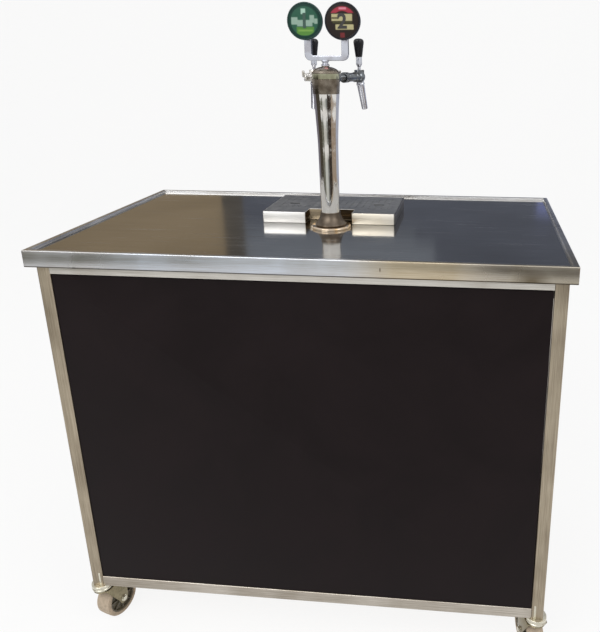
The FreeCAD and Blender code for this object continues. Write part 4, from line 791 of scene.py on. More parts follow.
class BEERBAR_OT_worktop(bpy.types.Operator):
    """Folded steel top with its rim, apron and sunk surface, and the plywood core under it"""
    bl_idname = "beerbar.worktop"
    bl_label = "Worktop"

    def execute(self, context):
        sizes = context.scene.counter_sizes
        low, high = corners_of("worktop")
        sheet, rim, lead, hem_edge = 1.5 * MM, 12 * MM, 4 * MM, 0.3 * MM
        level, bend = surface(), sizes.sheet_bend
        corners = [(sheet, level - sheet), (sheet, low[2]), (0, low[2]), (0, high[2]),
                   (rim, high[2]), (rim, level), (rim + lead, level)]
        line = distinct(rounded(corners, [0, hem_edge, hem_edge, bend, bend, bend, 0]))
        rows = stack(rectangle(low[:2], high[:2]), sizes.sheet_weld, line)
        # A painted shadow line along the apron's lower edge, all the way round.
        hem = ((0, 0, low[2] + 1.2 * MM), (9, 9, 1.8 * MM), 2, "#7b756e")
        apron = brushed_steel("brushed_stainless_apron", (*APRON_STAINS, hem))
        top = piece("counter_top", [shell(rows)], apron, nodes=["worktop"])
        sort_faces(top, lambda x, y, z: (np.hypot(x, y) < rim) & (z > level - sheet / 2),
                   rolled_steel("rolled_stainless_top"))
        core = plate(*corners_of("table_board"), edge=sizes.board_edge)
        piece("plywood_core", [core], birch_plywood("birch_plywood"),
              nodes=["table_board"])
        return {"FINISHED"}


def tube(name, along, corner):
    """Shell of a square tube: up its outer face, over its end, down the hollow and back."""
    low, high = corners_of(name)
    plan = [number for number in range(3) if number != "xyz".index(along)]
    start, end = low["xyz".index(along)], high["xyz".index(along)]
    wall, ease = 2 * MM, 0.3 * MM
    levels = [(0, start + ease), (0, end - ease), (ease, end), (wall, end), (wall, start),
              (ease, start)]
    return shell(stack(rectangle(low[plan], high[plan]), corner, levels, along), wrap=True)


class BEERBAR_OT_frame(bpy.types.Operator):
    """Four posts, the low and the high ring of rails, and the ledges that the panels rest on"""
    bl_idname = "beerbar.frame"
    bl_label = "Frame"

    def execute(self, context):
        corner = context.scene.counter_sizes.tube_corner
        runs = [("post_" + name, "z", "post") for name, *_ in CORNERS]
        runs += [(f"{ring}_rail_{end}", along, kind)
                 for ring, kind in (("bottom", "tube"), ("top", "rail"))
                 for end, along in (("front", "x"), ("rear", "x"), ("left", "y"), ("right", "y"))]
        # The top rails get a lighter copy of the tube's steel, a painted highlight; the posts a
        # darker, tanner copy, a painted brown reflection.
        for name, along, kind in runs:
            piece("tube_" + name, [tube(name, along, corner)],
                  brushed_steel("brushed_stainless_" + kind), nodes=[name],
                  grain=along)
        paint("panel_ledges", clouded("pickled_flat_bar"))
        return {"FINISHED"}


class BEERBAR_OT_panels(bpy.types.Operator):
    """Black laminate panels in the front and side openings, and the base shelf"""
    bl_idname = "beerbar.panels"
    bl_label = "Panels"

    def execute(self, context):
        sizes = context.scene.counter_sizes
        laminate = satin_laminate("satin_black_laminate")
        low, high = corners_of("panel_front")
        front = plate(low, high, "y", sizes.panel_edge)
        piece("laminate_front", [front], laminate, nodes=["panel_front"])
        thickness = high[1] - low[1]
        low, high = corners_of("side_panels")
        sides = [plate(low, (low[0] + thickness, *high[1:]), "x", sizes.panel_edge),
                 plate((high[0] - thickness, *low[1:]), high, "x", sizes.panel_edge)]
        piece("laminate_sides", sides, laminate, nodes=["side_panels"])
        shelf = plate(*corners_of("base_shelf"), edge=sizes.board_edge)
        piece("plywood_shelf", [shelf], birch_plywood("birch_plywood"),
              nodes=["base_shelf"])
        return {"FINISHED"}


# ---------------------------------------------------------------------- tower
# The tower's profiles are (radius, level) in millimetres, from its axis and the worktop. The
# head's painted brown reflection starts at HEAD, and the collar's painted olive one at COLLAR
# below its top.

HEAD, COLLAR = 46, 11.9


def tower_centre():
    """Point of the tower's axis on the worktop's surface."""
    low, high = corners_of("tower_column")
    middle = (low + high) / 2
    return np.array([middle[0], middle[1], surface()])


def level_of(node_name, end):
    """Level of a node's lowest (0) or highest (1) point over the worktop, in millimetres."""
    return (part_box(node_name)[end].z - surface()) / MM


class BEERBAR_OT_tower(bpy.types.Operator):
    """Foot flange, ring nut, column that widens upwards, and the domed cap with its screw"""
    bl_idname = "beerbar.tower"
    bl_label = "Tower"

    def execute(self, context):
        base, crown = tower_centre(), level_of("tower_column", 1)
        self.add_foot(base)
        self.add_nut()
        self.add_column(base, crown)
        self.add_cap(base, crown)
        return {"FINISHED"}

    def add_foot(self, base):
        """Foot: a plate with a tail through the worktop, and a bell whose radius falls with a
        power of the share of its height."""
        tail = level_of("tower_flange", 0)
        foot = profile([(17, tail), (20, tail), (20, 0), (50, 0), (50, 4.4), (47.4, 7),
                        (38.5, 7), (17, 7), (17, tail)],
                       [0, 1, 0, 0.5, 2.5, 2.5, 0, 0, 0])[:-1]
        piece("foot_plate", [hoop(foot, centre=base)], plated_chrome("brass_worn_bare"),
              nodes=["tower_flange"])
        fall = np.linspace(1, 0, 15)
        bell = np.column_stack([24.9 + 12.9 * fall ** 2.1, 39.2 - 27 * fall])
        line = profile([(17, 7), (37.6, 7), (39, 8.4), (39, 10.6), *bell, (24.4, 40), (17, 40),
                        (17, 7)], [0, 0, 1.6, 1.6, 0.6, *[1] * 14, 0.3, 0.4, 0])[:-1]
        # The bell's dark brown chrome is a painted reflection.
        piece("foot_bell", [hoop(line, centre=base, steps=96)],
              plated_chrome("darkened_chrome"), nodes=["tower_flange"])

    def add_nut(self):
        """Ring nut: a disc whose rim has notches for a spanner, as a cosine cut flat."""
        low, high = corners_of("tower_nut")
        middle, radius = (low + high) / 2, (high[0] - low[0]) / 2
        turn = np.linspace(0, 2 * np.pi, 192, endpoint=False)
        notch = np.clip((np.cos(6 * turn) - 0.88) / 0.06, 0, 1) * 3.5 * MM
        circle = np.column_stack([np.cos(turn), np.sin(turn)])
        rim, bore, ease = radius - notch, np.full(len(turn), 20 * MM), 0.8 * MM
        rows = []
        for reach, level in ((rim - ease, low[2]), (rim, low[2] + ease), (rim, high[2] - ease),
                             (rim - ease, high[2]), (bore, high[2]), (bore, low[2])):
            ring = circle * reach[:, None] + middle[:2]
            rows.append(np.column_stack([ring, np.full(len(ring), level)]))
        piece("ring_nut", [shell(rows, wrap=True)], clouded("machined_brass"),
              nodes=["tower_nut"])

    def add_column(self, base, crown):
        """Column: a tube that widens in two slow arcs, with a fine groove under its collar."""
        wide, groove = 32.5, 31.9
        outer = profile([(23, 40), (24.5, 214), (28.5, 292), (31.2, crown - HEAD), (wide, 345),
                         (wide, crown - 13.4), (groove, crown - 13), (groove, crown - 12.2),
                         (wide, crown - 11.8), (wide, crown)],
                        [0, 900, 700, 0, 60, 0.3, 0.2, 0.2, 0.3, 0], steps=10)
        inner = [(30, crown), (30, 345), (26, 292), (22, 214), (20.5, 40)]
        line = np.vstack([outer, np.array(inner) * MM])
        column = piece("chrome_column", [hoop(line, centre=base, steps=96)],
                       plated_chrome("bright_chrome"), nodes=["tower_column"])

        def zone(x, y, z):
            level = (z - base[2]) / MM - crown
            return np.int32(level > -HEAD) + (level > -COLLAR)

        # The head gets chrome with a painted brown reflection, and the collar chrome with a
        # painted olive one.
        sort_faces(column, zone, plated_chrome("tarnished_chrome"),
                   plated_chrome("filmed_chrome"))

    def add_cap(self, base, crown):
        """Cap: a spigot, a rounded rim, a dome of ellipse section and a boss for the stem."""
        turn = np.linspace(math.radians(14), math.radians(72), 14)
        dome = np.column_stack([32.3 * np.cos(turn), crown + 16 * np.sin(turn)])
        start = [(0, crown - 3), (29.7, crown - 3), (29.7, crown), (32.5, crown),
                 (32.5, crown + 2.4)]
        end = [(9, crown + 15.6), (9, crown + 18), (0, crown + 18)]
        line = profile([*start, *dome, *end], [0, 0.4, 0.1, 0.5, 1.2, *[1] * 13, 2, 2, 0.8, 0])
        # The cap's brown chrome is a painted reflection.
        piece("domed_cap", [ringed(line, centre=base)], plated_chrome("tarnished_chrome"),
              nodes=["tower_cap"])
        screw = profile([(0, -3), (5.4, -3), (5.4, 0.6), (3.4, 2), (0, 2.2)],
                        [0, 0.4, 1, 2, 0])
        spot = base + np.array([6, -20, crown + 11]) * MM
        button = turned([ringed(screw, steps=24)], math.radians(62), spot, "x")
        piece("cap_screw", button, clouded("copper_plated_screw"))


class BEERBAR_OT_badges(bpy.types.Operator):
    """Bracket on the cap, and the two round badges with their printed faces and figures"""
    bl_idname = "beerbar.badges"
    bl_label = "Badges"

    def execute(self, context):
        self.add_bracket()
        self.add_badge("left", "1", "moulded_green_gloss", 0.03)
        self.add_badge("right", "2", "moulded_black_gloss", 0.0)
        return {"FINISHED"}

    def add_badge(self, name, figure, gloss, lift):
        """Turned shell with a rolled lip, a domed face and a raised figure, which is lifted by a
        share of the face's radius."""
        low, high = corners_of("badge_faces")
        radius, front = (high[2] - low[2]) / 2, low[1]
        low, high = corners_of("badge_" + name)
        back = high[1]
        centre = np.array([(low[0] + high[0]) / 2, back, (low[2] + high[2]) / 2])
        body = profile([(0, 0), (8, 0), (8, -6), (36, -6), (41, -10), (41, -18), (39.6, -20),
                        (37.4, -20), (37, -18.5), (0, -18.5)],
                       [0, 0.5, 1, 4, 4, 1.6, 1, 0.6, 0.2, 0])
        piece("badge_shell_" + name, [ringed(body, axis="y", centre=centre)],
              moulded_plastic(gloss), nodes=["badge_" + name])
        rise, floor = np.linspace(0, 1, 9)[::-1, None], -18.5 * MM
        dome = np.hstack([rise * radius, front - back + 1.1 * MM * rise ** 2])
        face = np.vstack([[(0, floor), (radius, floor)], dome])
        piece("badge_face_" + name, [ringed(face, axis="y", centre=centre)],
              printed_face("screen_print_" + name, centre, radius),
              nodes=["badge_faces"])
        spot = (centre[0], front - 0.1 * MM, centre[2] + lift * radius)
        lettering("badge_figure_" + name, figure, 44 * MM, 0.8 * MM, spot,
                  moulded_plastic("raised_ink_" + name))

    def add_bracket(self):
        """Fork of flat bar with a stem: an outline set in at its front and back edges."""
        low, high = corners_of("badge_bracket")
        base, foot = tower_centre(), level_of("tower_cap", 1)
        bar_low = base[2] + 399.5 * MM
        bar_high, width = bar_low + 12 * MM, 16 * MM
        corners = [(low[0], bar_low), (high[0], bar_low), (high[0], high[2]),
                   (high[0] - width, high[2]), (high[0] - width, bar_high),
                   (low[0] + width, bar_high), (low[0] + width, high[2]), (low[0], high[2])]
        radii = np.array([14, 14, 3, 3, 4, 4, 3, 3]) * MM
        fork = shell(stack(corners, radii, eased(low[1], high[1], 1.6 * MM), "y"))
        stem = profile([(0, foot - 1), (10, foot - 1), (10, foot + 2), (7, foot + 3.5),
                        (7, 396.5), (9, 397.5), (9, 400.5), (0, 400.5)],
                       [0, 0.5, 0.8, 1, 1, 0.8, 0.4, 0])
        # Rougher chrome with a painted pale bluish grey reflection.
        piece("badge_fork", [fork, ringed(stem, centre=base, steps=40)],
              plated_chrome("dulled_chrome"), nodes=["badge_bracket"])


# ----------------------------------------------------------------------- taps
# A tap is shaped with +Y away from the column and the origin on the column's
# axis at the height of the shank, then turned by the taps' splay. BULB is the
# middle of its bulb, where the lever turns, and VALVE that of its valve.

SPLAY = math.radians(24)
BULB, VALVE = (0, 142 * MM, 0), (0, 104 * MM, 0)
SHANK_RADIUS = 15 * MM


def bonnet_cheek(side):
    """Half of the slotted bonnet: an arc of the bonnet's circle closed by a chord, rounded at
    its top edge."""
    radius, half_slot, low, high = 12.5 * MM, 5 * MM, 4 * MM, 17 * MM
    edge, bulge = 1.2 * MM, 0.35 * MM
    reach = math.acos(half_slot / radius)
    turn = np.linspace(-reach, reach, 15)
    outline = side * radius * np.column_stack([np.cos(turn), np.sin(turn)])
    levels = [(0, low), (0, high - edge), (bulge, high - bulge), (edge, high)]
    return shell(stack(outline, 0.02 * MM, levels, steps=1) + BULB)


class BEERBAR_OT_taps(bpy.types.Operator):
    """Shanks, cast tap bodies with spouts, levers with grips, and flow controls"""
    bl_idname = "beerbar.taps"
    bl_label = "Taps"

    def execute(self, context):
        axis, shanks = tower_centre(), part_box("tap_shanks")[1]
        origin = (axis[0], axis[1], shanks.z - SHANK_RADIUS)
        # Spouts and levers: rougher chrome with a painted pale bluish grey reflection.
        bright, dulled, smoked = (plated_chrome(word + "_chrome")
                                  for word in ("bright", "dulled", "smoked"))
        grip = moulded_plastic("moulded_black_phenolic")
        for name, side in SIDES:
            # The right tap's shank and body: a darker copy of the chrome, a painted dark
            # reflection.
            plating = bright if side < 0 else smoked
            tap, handle = "tap_body_" + name, "tap_handle_" + name
            parts = (
                ("threaded_shank_", self.shank(), plating, "chrome", "root", "tap_shanks"),
                ("tap_casting_", self.body(), plating, "chrome", "root", tap),
                ("tap_spout_", self.spout(), dulled, "chrome", "root", tap),
                ("tap_stem_", self.lever(), dulled, "chrome", handle, "tap_lever_" + name),
                ("tap_handle_grip_", self.grip(), grip, "grip_plastic", handle,
                 "tap_grip_" + name),
                ("flow_lever_", self.knob(), bright, "chrome", "flow_control_" + name,
                 "flow_knob_" + name),
            )
            for word, shells, material, slot, body, replaced in parts:
                piece(word + name, turned(shells, -side * SPLAY, origin), material, body,
                      [replaced])
        return {"FINISHED"}

    def shank(self):
        """Collar against the column, thread whose radius ripples with a 2 mm pitch, and the
        elbow inside the column."""
        collar = profile([(0, 30.5), (15, 30.5), (15, 41), (13.5, 43.5), (11.5, 46.5),
                          (0, 46.5)], [0, 0.5, 1.5, 1.5, 1, 0])
        along = np.linspace(46.5, 72.5, 105)
        ripple = 7.5 - 0.45 * (0.5 + 0.5 * np.cos(np.pi * along))
        thread = np.vstack([[(0, 14), (5.5, 14), (5.5, 26), (7.4, 26)],
                            np.column_stack([ripple, along]), [(7.5, 80), (0, 80)]]) * MM
        elbow = profile([(0, -22), (5, -22), (5, 2), (0, 4)], [0, 0.5, 2, 0])
        return [ringed(collar, axis="y", steps=56), ringed(thread, axis="y", steps=40),
                ringed(elbow, centre=(0, 19.5 * MM, 0), steps=24)]

    def body(self):
        """Barrel with rings, round bulb, slotted bonnet and valve boss."""
        barrel = profile([(0, 71.8), (9, 71.8), (12.5, 71.8), (12.5, 82), (11, 83.5),
                          (11, 85), (12.2, 86), (12.2, 89), (10.6, 90.5), (10.6, 118),
                          (12.3, 120), (12.3, 123), (10.8, 124.5), (10.8, 134), (0, 134)],
                         [0, 0.2, 1, 1, 0.6, 0.6, 0.8, 0.8, 2, 3, 0.8, 0.8, 1, 1, 0])
        turn = np.linspace(-np.pi / 2, np.pi / 2, 25)
        ball = 15 * MM * np.column_stack([np.cos(turn), np.sin(turn)])
        boss = profile([(0, -9), (9, -9), (9, -13.5), (8, -14.5), (8, -16), (9, -17),
                        (9, -18), (3.2, -18), (3.2, -14), (0, -14)],
                       [0, 0.3, 0.8, 0.5, 0.5, 0.5, 0.4, 0.2, 0.1, 0])
        return [ringed(barrel, axis="y", steps=56), ringed(ball, axis="y", centre=BULB, steps=48),
                bonnet_cheek(-1), bonnet_cheek(1), ringed(boss, axis="x", centre=VALVE, steps=40),
                hex_head(8.6 * MM, 5 * MM, "x", (-14.5 * MM, *VALVE[1:]))]

    def spout(self):
        """Tilted spout with a bead, tapered to its tip, and its bore."""
        line = profile([(0, 2), (9.5, 2), (9.5, 15), (10.4, 16.5), (10.4, 19), (9.2, 20.5),
                        (7.5, 82), (7.2, 83), (4.5, 83), (4.5, 71), (0, 71)],
                       [0, 0.5, 1.5, 0.7, 0.7, 2, 0.6, 0.3, 0.3, 0.3, 0])
        return turned([ringed(line, steps=44)], math.radians(16) - math.pi, BULB, "x")

    def lever(self):
        """Eye and cross pin in the bonnet's slot, stem, and the flared ferrule of the grip."""
        eye = np.array(BULB) + (0, 0, 10 * MM)
        stem = profile([(0, 12), (4, 12), (4, 24), (7.4, 30), (7.4, 46.8), (6.6, 48), (0, 48)],
                       [0, 0.2, 3, 3, 1, 0.5, 0])
        return [ringed(rod(6.5, -4.5, 4.5, 0.8), axis="x", centre=eye, steps=40),
                ringed(rod(2.5, -12.2, 12.2, 0.6), axis="x", centre=eye, steps=24),
                ringed(stem, centre=BULB, steps=40)]

    def grip(self):
        """Tapered grip with a waist at its foot and a domed top."""
        line = profile([(0, 48.1), (8.2, 48.1), (8.7, 50.5), (13, 82), (12.3, 87.6), (8, 91.2),
                        (0, 92)], [0, 0.8, 6, 6, 6, 8, 0], steps=7)
        return [ringed(line, centre=BULB, steps=48)]

    def knob(self):
        """Disc with fine flutes, as a cosine of twenty times the turn that fades towards the
        axis, and a flat wing that shows how far the valve is open."""
        radius, count = 10 * MM, 120
        turn = np.linspace(0, 2 * np.pi, count, endpoint=False)
        flute = 0.35 * MM * (0.5 + 0.5 * np.cos(20 * turn))
        levels = profile([(0, -18.3), (10, -18.3), (10, -32.3), (0, -32.3)], [0, 1.2, 1.6, 0])
        rows = lathe(levels, "x", steps=count)
        share = np.clip(np.hypot(rows[..., 1], rows[..., 2]) / radius, 0, 1) ** 6
        rows[..., 1:] *= (1 - share * flute / radius)[..., None]
        wing = plate((-37.3 * MM, 99 * MM, 0), (-32 * MM, 109 * MM, 16 * MM), "x", 1.2 * MM,
                     2 * MM)
        return [shell(rows + VALVE, "pole", "pole"), wing,
                ringed(rod(3, -13, -19, 0.3), axis="x", centre=VALVE, steps=24)]


# ------------------------------------------------------------------ drip tray

class BEERBAR_OT_tray(bpy.types.Operator):
    """Folded drip tray with its notch and ledge; its perforated cover keeps its own shape"""
    bl_idname = "beerbar.tray"
    bl_label = "Drip tray"

    def execute(self, context):
        low, high = corners_of("drip_tray")
        middle, half, depth = (low[0] + high[0]) / 2, 60 * MM, 45 * MM
        inner = low[1] + depth
        corners = [(low[0], low[1]), (middle - half, low[1]), (middle - half, inner),
                   (middle + half, inner), (middle + half, low[1]), (high[0], low[1]),
                   (high[0], high[1]), (low[0], high[1])]
        floor, top = low[2], high[2]
        sheet, seat, ledge = 1.5 * MM, 2 * MM, 7.5 * MM
        line = [(2.4 * MM, floor), (0.7 * MM, floor + 0.7 * MM), (0, floor + 2.4 * MM),
                (0, top - 0.6 * MM), (0.2 * MM, top - 0.2 * MM), (0.6 * MM, top),
                (0.9 * MM, top), (1.3 * MM, top - 0.2 * MM), (sheet, top - 0.6 * MM),
                (sheet, top - seat), (ledge, top - seat), (ledge, top - seat - sheet),
                (sheet, top - seat - sheet), (sheet, floor + sheet)]
        rows = stack(corners, context.scene.counter_sizes.tray_corner, line)
        # The tray's right end gets painted shade, and its front near the right end a painted cream
        # reflection.
        dull_end = ((high[0], (low[1] + high[1]) / 2, floor), (4 * MM, 0.3, 0.2), 4, "#6e6e74")
        dried_beer = ((high[0] - 80 * MM, low[1], floor), (0.13, 0.02, 0.1), 1.5, "#fff8ea")
        steel = brushed_steel("brushed_stainless_tray", (dull_end, dried_beer))
        tray = piece("folded_tray", [shell(rows)], steel, body="tray",
                     nodes=["drip_tray"])
        near = 1 * MM
        # The notch's faces: a brown copy of the steel, a painted reflection of the column's brass
        # foot.
        sort_faces(tray, lambda x, y, z: (np.abs(x - middle) < half + near)
                   & (y > low[1] + near) & (y < inner + near) & (z < top - near),
                   brushed_steel("rubbed_stainless_notch"))
        paint("drip_grille", tray_cover("brushed_stainless_cover"))
        return {"FINISHED"}


# -------------------------------------------------------------------- casters
# A caster is shaped on the floor with its swivel axis at the origin and its
# wheel trailing along +X, then turned and set under its post. BRAKE is the
# pivot of the pedal.

CASTER_TURN = math.radians(72)
TRAIL, AXLE = 38 * MM, 50 * MM
HUB = np.array([TRAIL, 0, AXLE])
BRAKE = np.array([85, 0, 94]) * MM
FORK_TOP, PLATE, CHEEK_INSIDE = 109.6 * MM, 3 * MM, 23 * MM
CHEEK_OUTSIDE = CHEEK_INSIDE + PLATE


class BEERBAR_OT_casters(bpy.types.Operator):
    """Swivel heads, forks with their axle bolts, wheels, and the rear casters' brakes"""
    bl_idname = "beerbar.casters"
    bl_label = "Casters"

    def execute(self, context):
        zinc, browned = zinc_plate("yellow_passivated_zinc"), zinc_plate("browned_zinc")
        tyre = grey_rubber("grey_rubber_tyre")
        plastic = moulded_plastic("moulded_grey_polypropylene")
        heads = []
        for name, side, depth in CORNERS:
            low, high = corners_of("post_" + name)
            middle = (low + high) / 2
            place = (-depth * (CASTER_TURN if side < 0 else math.pi - CASTER_TURN),
                     (middle[0], middle[1], 0))
            braked = depth > 0
            heads += turned(self.head(), *place)
            parts = [("caster_yoke_", self.fork(braked), browned, "zinc_plate", "fork_"),
                     ("axle_bolt_", self.bolt(), zinc, "zinc_plate", "fork_"),
                     ("wheel_tyre_", self.tyre(), tyre, "wheel_rubber", "wheel_"),
                     ("wheel_core_", self.core(), plastic, "wheel_rubber", "wheel_")]
            if braked:
                parts.append(("brake_pedal_", self.brake(), zinc, "zinc_plate", "brake_"))
            for word, shells, material, slot, body in parts:
                piece(word + name, turned(shells, *place), material, body + name,
                      ["caster_" + body + name])
        piece("swivel_heads", heads, zinc, nodes=["caster_heads"])
        return {"FINISHED"}

    def head(self):
        """Swivel head with a groove for the balls, kingpin, its nut, and the insert above."""
        disc = profile([(0, 110), (20, 110), (23.5, 111.5), (25, 114), (25, 116.5),
                        (23.6, 118), (23.6, 119.5), (25, 121), (25, 127), (24, 128), (0, 128)],
                       [0, 1, 2, 1.5, 1, 0.8, 0.8, 1, 1.5, 0.6, 0])
        insert = plate((-13 * MM, -13 * MM, 128 * MM), (13 * MM, 13 * MM, 168 * MM),
                       edge=1 * MM, corner=2 * MM)
        return [ringed(disc, steps=56), ringed(rod(6, 102.2, 111, 0.2), steps=24),
                hex_head(10 * MM, 4 * MM, centre=(0, 0, 102.2 * MM)), insert]

    def fork(self, braked):
        """Pressed fork: a top plate and two cheeks with rounded feet."""
        front, back, under = -11.5 * MM, TRAIL + 15 * MM, FORK_TOP - 1.2 * MM
        knee, foot, ear = AXLE + 2 * MM, AXLE - 14 * MM, BRAKE[0] + 7 * MM
        top = profile([(0, 106.6), (22.4, 106.6), (23, 107.2), (23, 108.6), (22, 109.6),
                       (0, 109.6)], [0, 0.2, 0.2, 0.8, 0.8, 0])
        shells = [ringed(top, steps=48),
                  plate((front, -CHEEK_OUTSIDE, FORK_TOP - PLATE),
                        (back, CHEEK_OUTSIDE, FORK_TOP), edge=1 * MM, corner=6 * MM)]
        outline = [(front, under), (TRAIL - 15 * MM, knee), (TRAIL - 9 * MM, foot),
                   (TRAIL + 9 * MM, foot), (back, knee)]
        radii = [2, 12, 10, 10, 12]
        if braked:
            outline += [(ear, BRAKE[2] - 7 * MM), (ear, BRAKE[2] + 7 * MM)]
            radii += [5, 5, 6]
        else:
            radii.append(3)
        outline.append((back, under))
        edge, bulge = 0.8 * MM, 0.2 * MM
        for start in (-CHEEK_OUTSIDE, CHEEK_INSIDE):
            end = start + PLATE
            levels = [(edge, start), (bulge, start + bulge), (0, start + edge),
                      (0, end - edge), (bulge, end - bulge), (edge, end)]
            shells.append(shell(stack(outline, np.array(radii) * MM, levels, "y")))
        return shells

    def bolt(self):
        """Axle bolt: its shaft, and a washer and a hexagon head outside each cheek."""
        shells = [ringed(rod(4, -26.5, 26.5, 0.2), axis="y", centre=HUB, steps=24)]
        for side, start in ((-1, -CHEEK_OUTSIDE - 5 * MM), (1, CHEEK_OUTSIDE + 1 * MM)):
            washer = rod(8.4, 0, 1.2, 0.3) * (1, side) + (0, side * CHEEK_OUTSIDE)
            shells += [ringed(washer, axis="y", centre=HUB, steps=32),
                       hex_head(7 * MM, 4 * MM, "y", HUB + (0, start, 0))]
        return shells

    def tyre(self):
        """Tyre, a ring round the wheel's core, whose tread is crowned by the square of the
        distance from its middle."""
        across = np.linspace(-1, 1, 21)
        tread = np.column_stack([50 - 0.8 * across ** 2, 18.2 * across])
        corners = [(38.4, -21), (44, -21), (48, -20), *tread, (48, 20), (44, 21), (38.4, 21),
                   (38.4, -21)]
        line = profile(corners, [0, 2, 1.5, *[1] * 21, 1.5, 2, 0.6, 0])[:-1]
        return [hoop(line, axis="y", centre=HUB, steps=96)]

    def core(self):
        """Moulded core: rim, dished web, hub, and eight ribs on each side."""
        half = [(4.05, 22.5), (10, 22.5), (13, 21.5), (13, 14), (34, 12.5), (35, 19.6),
                (38.5, 20.4)]
        line = [*half, *[(across, -level) for across, level in reversed(half)], half[0]]
        radii = [0, 1, 1.5, 3, 2.5, 1, 0.4, 0.4, 1, 2.5, 3, 1.5, 1, 0.2, 0]
        shells = [hoop(profile(line, radii)[:-1], axis="y", centre=HUB, steps=72)]
        for near, far in ((-18, -11.5), (11.5, 18)):
            rib = plate((12 * MM, near * MM, -1.3 * MM), (35 * MM, far * MM, 1.3 * MM), "y",
                        0.6 * MM, 0.8 * MM)
            for turn in np.arange(8) * math.pi / 4:
                shells += turned([rib], turn, HUB, "y")
        return shells

    def brake(self):
        """Pedal with a flat tread, its pin and hub, and the shoe between pivot and wheel."""
        away = np.array([-6 * 47, 0, -6 * 44]) / math.hypot(47, 44) * MM
        tread = plate(BRAKE + np.array([0, -15, 2]) * MM, BRAKE + np.array([34, 15, 6]) * MM,
                      "z", 1.2 * MM, 5 * MM)
        return [ringed(rod(6, -15, 15, 0.8), axis="y", centre=BRAKE, steps=32),
                ringed(rod(3, -25.8, 25.8, 0.6), axis="y", centre=BRAKE, steps=24),
                ringed(rod(6.5, -15, 15, 1), axis="y", centre=BRAKE + away, steps=32), tread]


# --------------------------------------------------------------------- cooler

class BEERBAR_OT_cooler(bpy.types.Operator):
    """Finishes of the cooler, its control knob with a scale, and the beer lines"""
    bl_idname = "beerbar.cooler"
    bl_label = "Cooler"

    def execute(self, context):
        plastic = moulded_plastic("moulded_black_polyamide")
        looks = (
            (powder_coat("powder_coated_steel", "cooler"),
             ("cooler_pan", "cooler_hood", "cooler_rear")),
            (clouded("mill_aluminium"), ("condenser", "cooling_block")),
            (powder_coat("black_stove_enamel", "#1d1e20"), ("compressor", "fan_motor")),
            (plastic, ("cooler_fan", "power_rocker", "power_inlet")),
            (clouded("milky_polythene"), ("beer_lines",)),
        )
        for material, names in looks:
            for name in names:
                paint(name, material)
        low, high = corners_of("thermostat_dial")
        centre = np.array([(low[0] + high[0]) / 2, high[1], (low[2] + high[2]) / 2])
        self.add_dial(centre, plastic)
        self.add_scale(centre)
        self.add_screws()
        return {"FINISHED"}

    def add_dial(self, centre, plastic):
        """Knob with flutes, as a circle whose radius ripples twelve times, and a pointer."""
        line = profile([(0, -25.3), (3, -25.3), (3, -15), (18, -15), (18, -10), (15.5, -2),
                        (14, 0), (0, 0)], [0, 0.3, 0.2, 0.6, 1.5, 2, 1.5, 0])
        rows = lathe(line, "y", steps=144)
        far = np.hypot(rows[..., 0], rows[..., 2])
        turn = np.arctan2(rows[..., 2], rows[..., 0])
        dent = 0.9 * MM * np.clip(np.cos(12 * turn), 0, 1) * np.clip(far / (14 * MM), 0, 1) ** 8
        rows[..., ::2] *= (1 - dent / np.maximum(far, 1 * MM))[..., None]
        piece("thermostat_knob", [shell(rows + centre, "pole", "pole")], plastic,
              body="dial", nodes=["thermostat_dial"])
        mark = plate(centre + np.array([-0.7, -0.2, 3]) * MM,
                     centre + np.array([0.7, 0.3, 12]) * MM, "y", 0.1 * MM, 0.3 * MM)
        piece("dial_pointer", [mark], moulded_plastic("white_marking_ink"),
              body="dial")

    def add_scale(self, centre):
        """Seven dots round the knob, each a little larger than the one before."""
        back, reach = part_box("cooler_rear")[1].y, 24
        dots = []
        for number, angle in enumerate(np.radians(np.linspace(-135, 135, 7))):
            spot = np.array([-math.sin(angle) * reach, 0.15, math.cos(angle) * reach]) * MM
            dots.append(ringed(rod(1.1 + 0.12 * number, -0.2, 0.15, 0.05), axis="y",
                               centre=(centre[0], back, centre[2]) + spot, steps=20))
        piece("dial_scale", dots, moulded_plastic("black_marking_ink"))

    def add_screws(self):
        """Pan-head screws along the hood's lower edge, each a low dome on the sheet."""
        low, high = corners_of("cooler_hood")
        level = low[2] + 12 * MM
        head = profile([(0, -0.5), (3.4, -0.5), (3.4, 0.6), (2.2, 1.7), (0, 2)],
                       [0, 0.1, 0.8, 1.5, 0])
        screws = [ringed(head, axis="y", centre=(across, high[1], level), steps=24)
                  for across in np.linspace(low[0] + 25 * MM, high[0] - 25 * MM, 3)]
        screws += [ringed(head * (1, side), axis="x", centre=(face, along, level), steps=24)
                   for face, side in ((low[0], -1), (high[0], 1))
                   for along in np.linspace(low[1] + 30 * MM, high[1] - 30 * MM, 3)]
        piece("hood_screws", screws, zinc_plate("yellow_passivated_zinc"))


# ---------------------------------------------------------------------- stage

# Focal length and picture centre in pixels of a frame of FRAME_WIDTH by FRAME_HEIGHT, place in
# metres, and turns in radians.
LENS_PIXELS = 669.2
FRAME_WIDTH, FRAME_HEIGHT = 600, 632
CENTRE_X, CENTRE_Y = 410, 275
CAMERA_PLACE = (0.3806, -1.6653, 1.4558)
CAMERA_YAW, CAMERA_PITCH, CAMERA_ROLL = -0.096, 0.317, -0.002

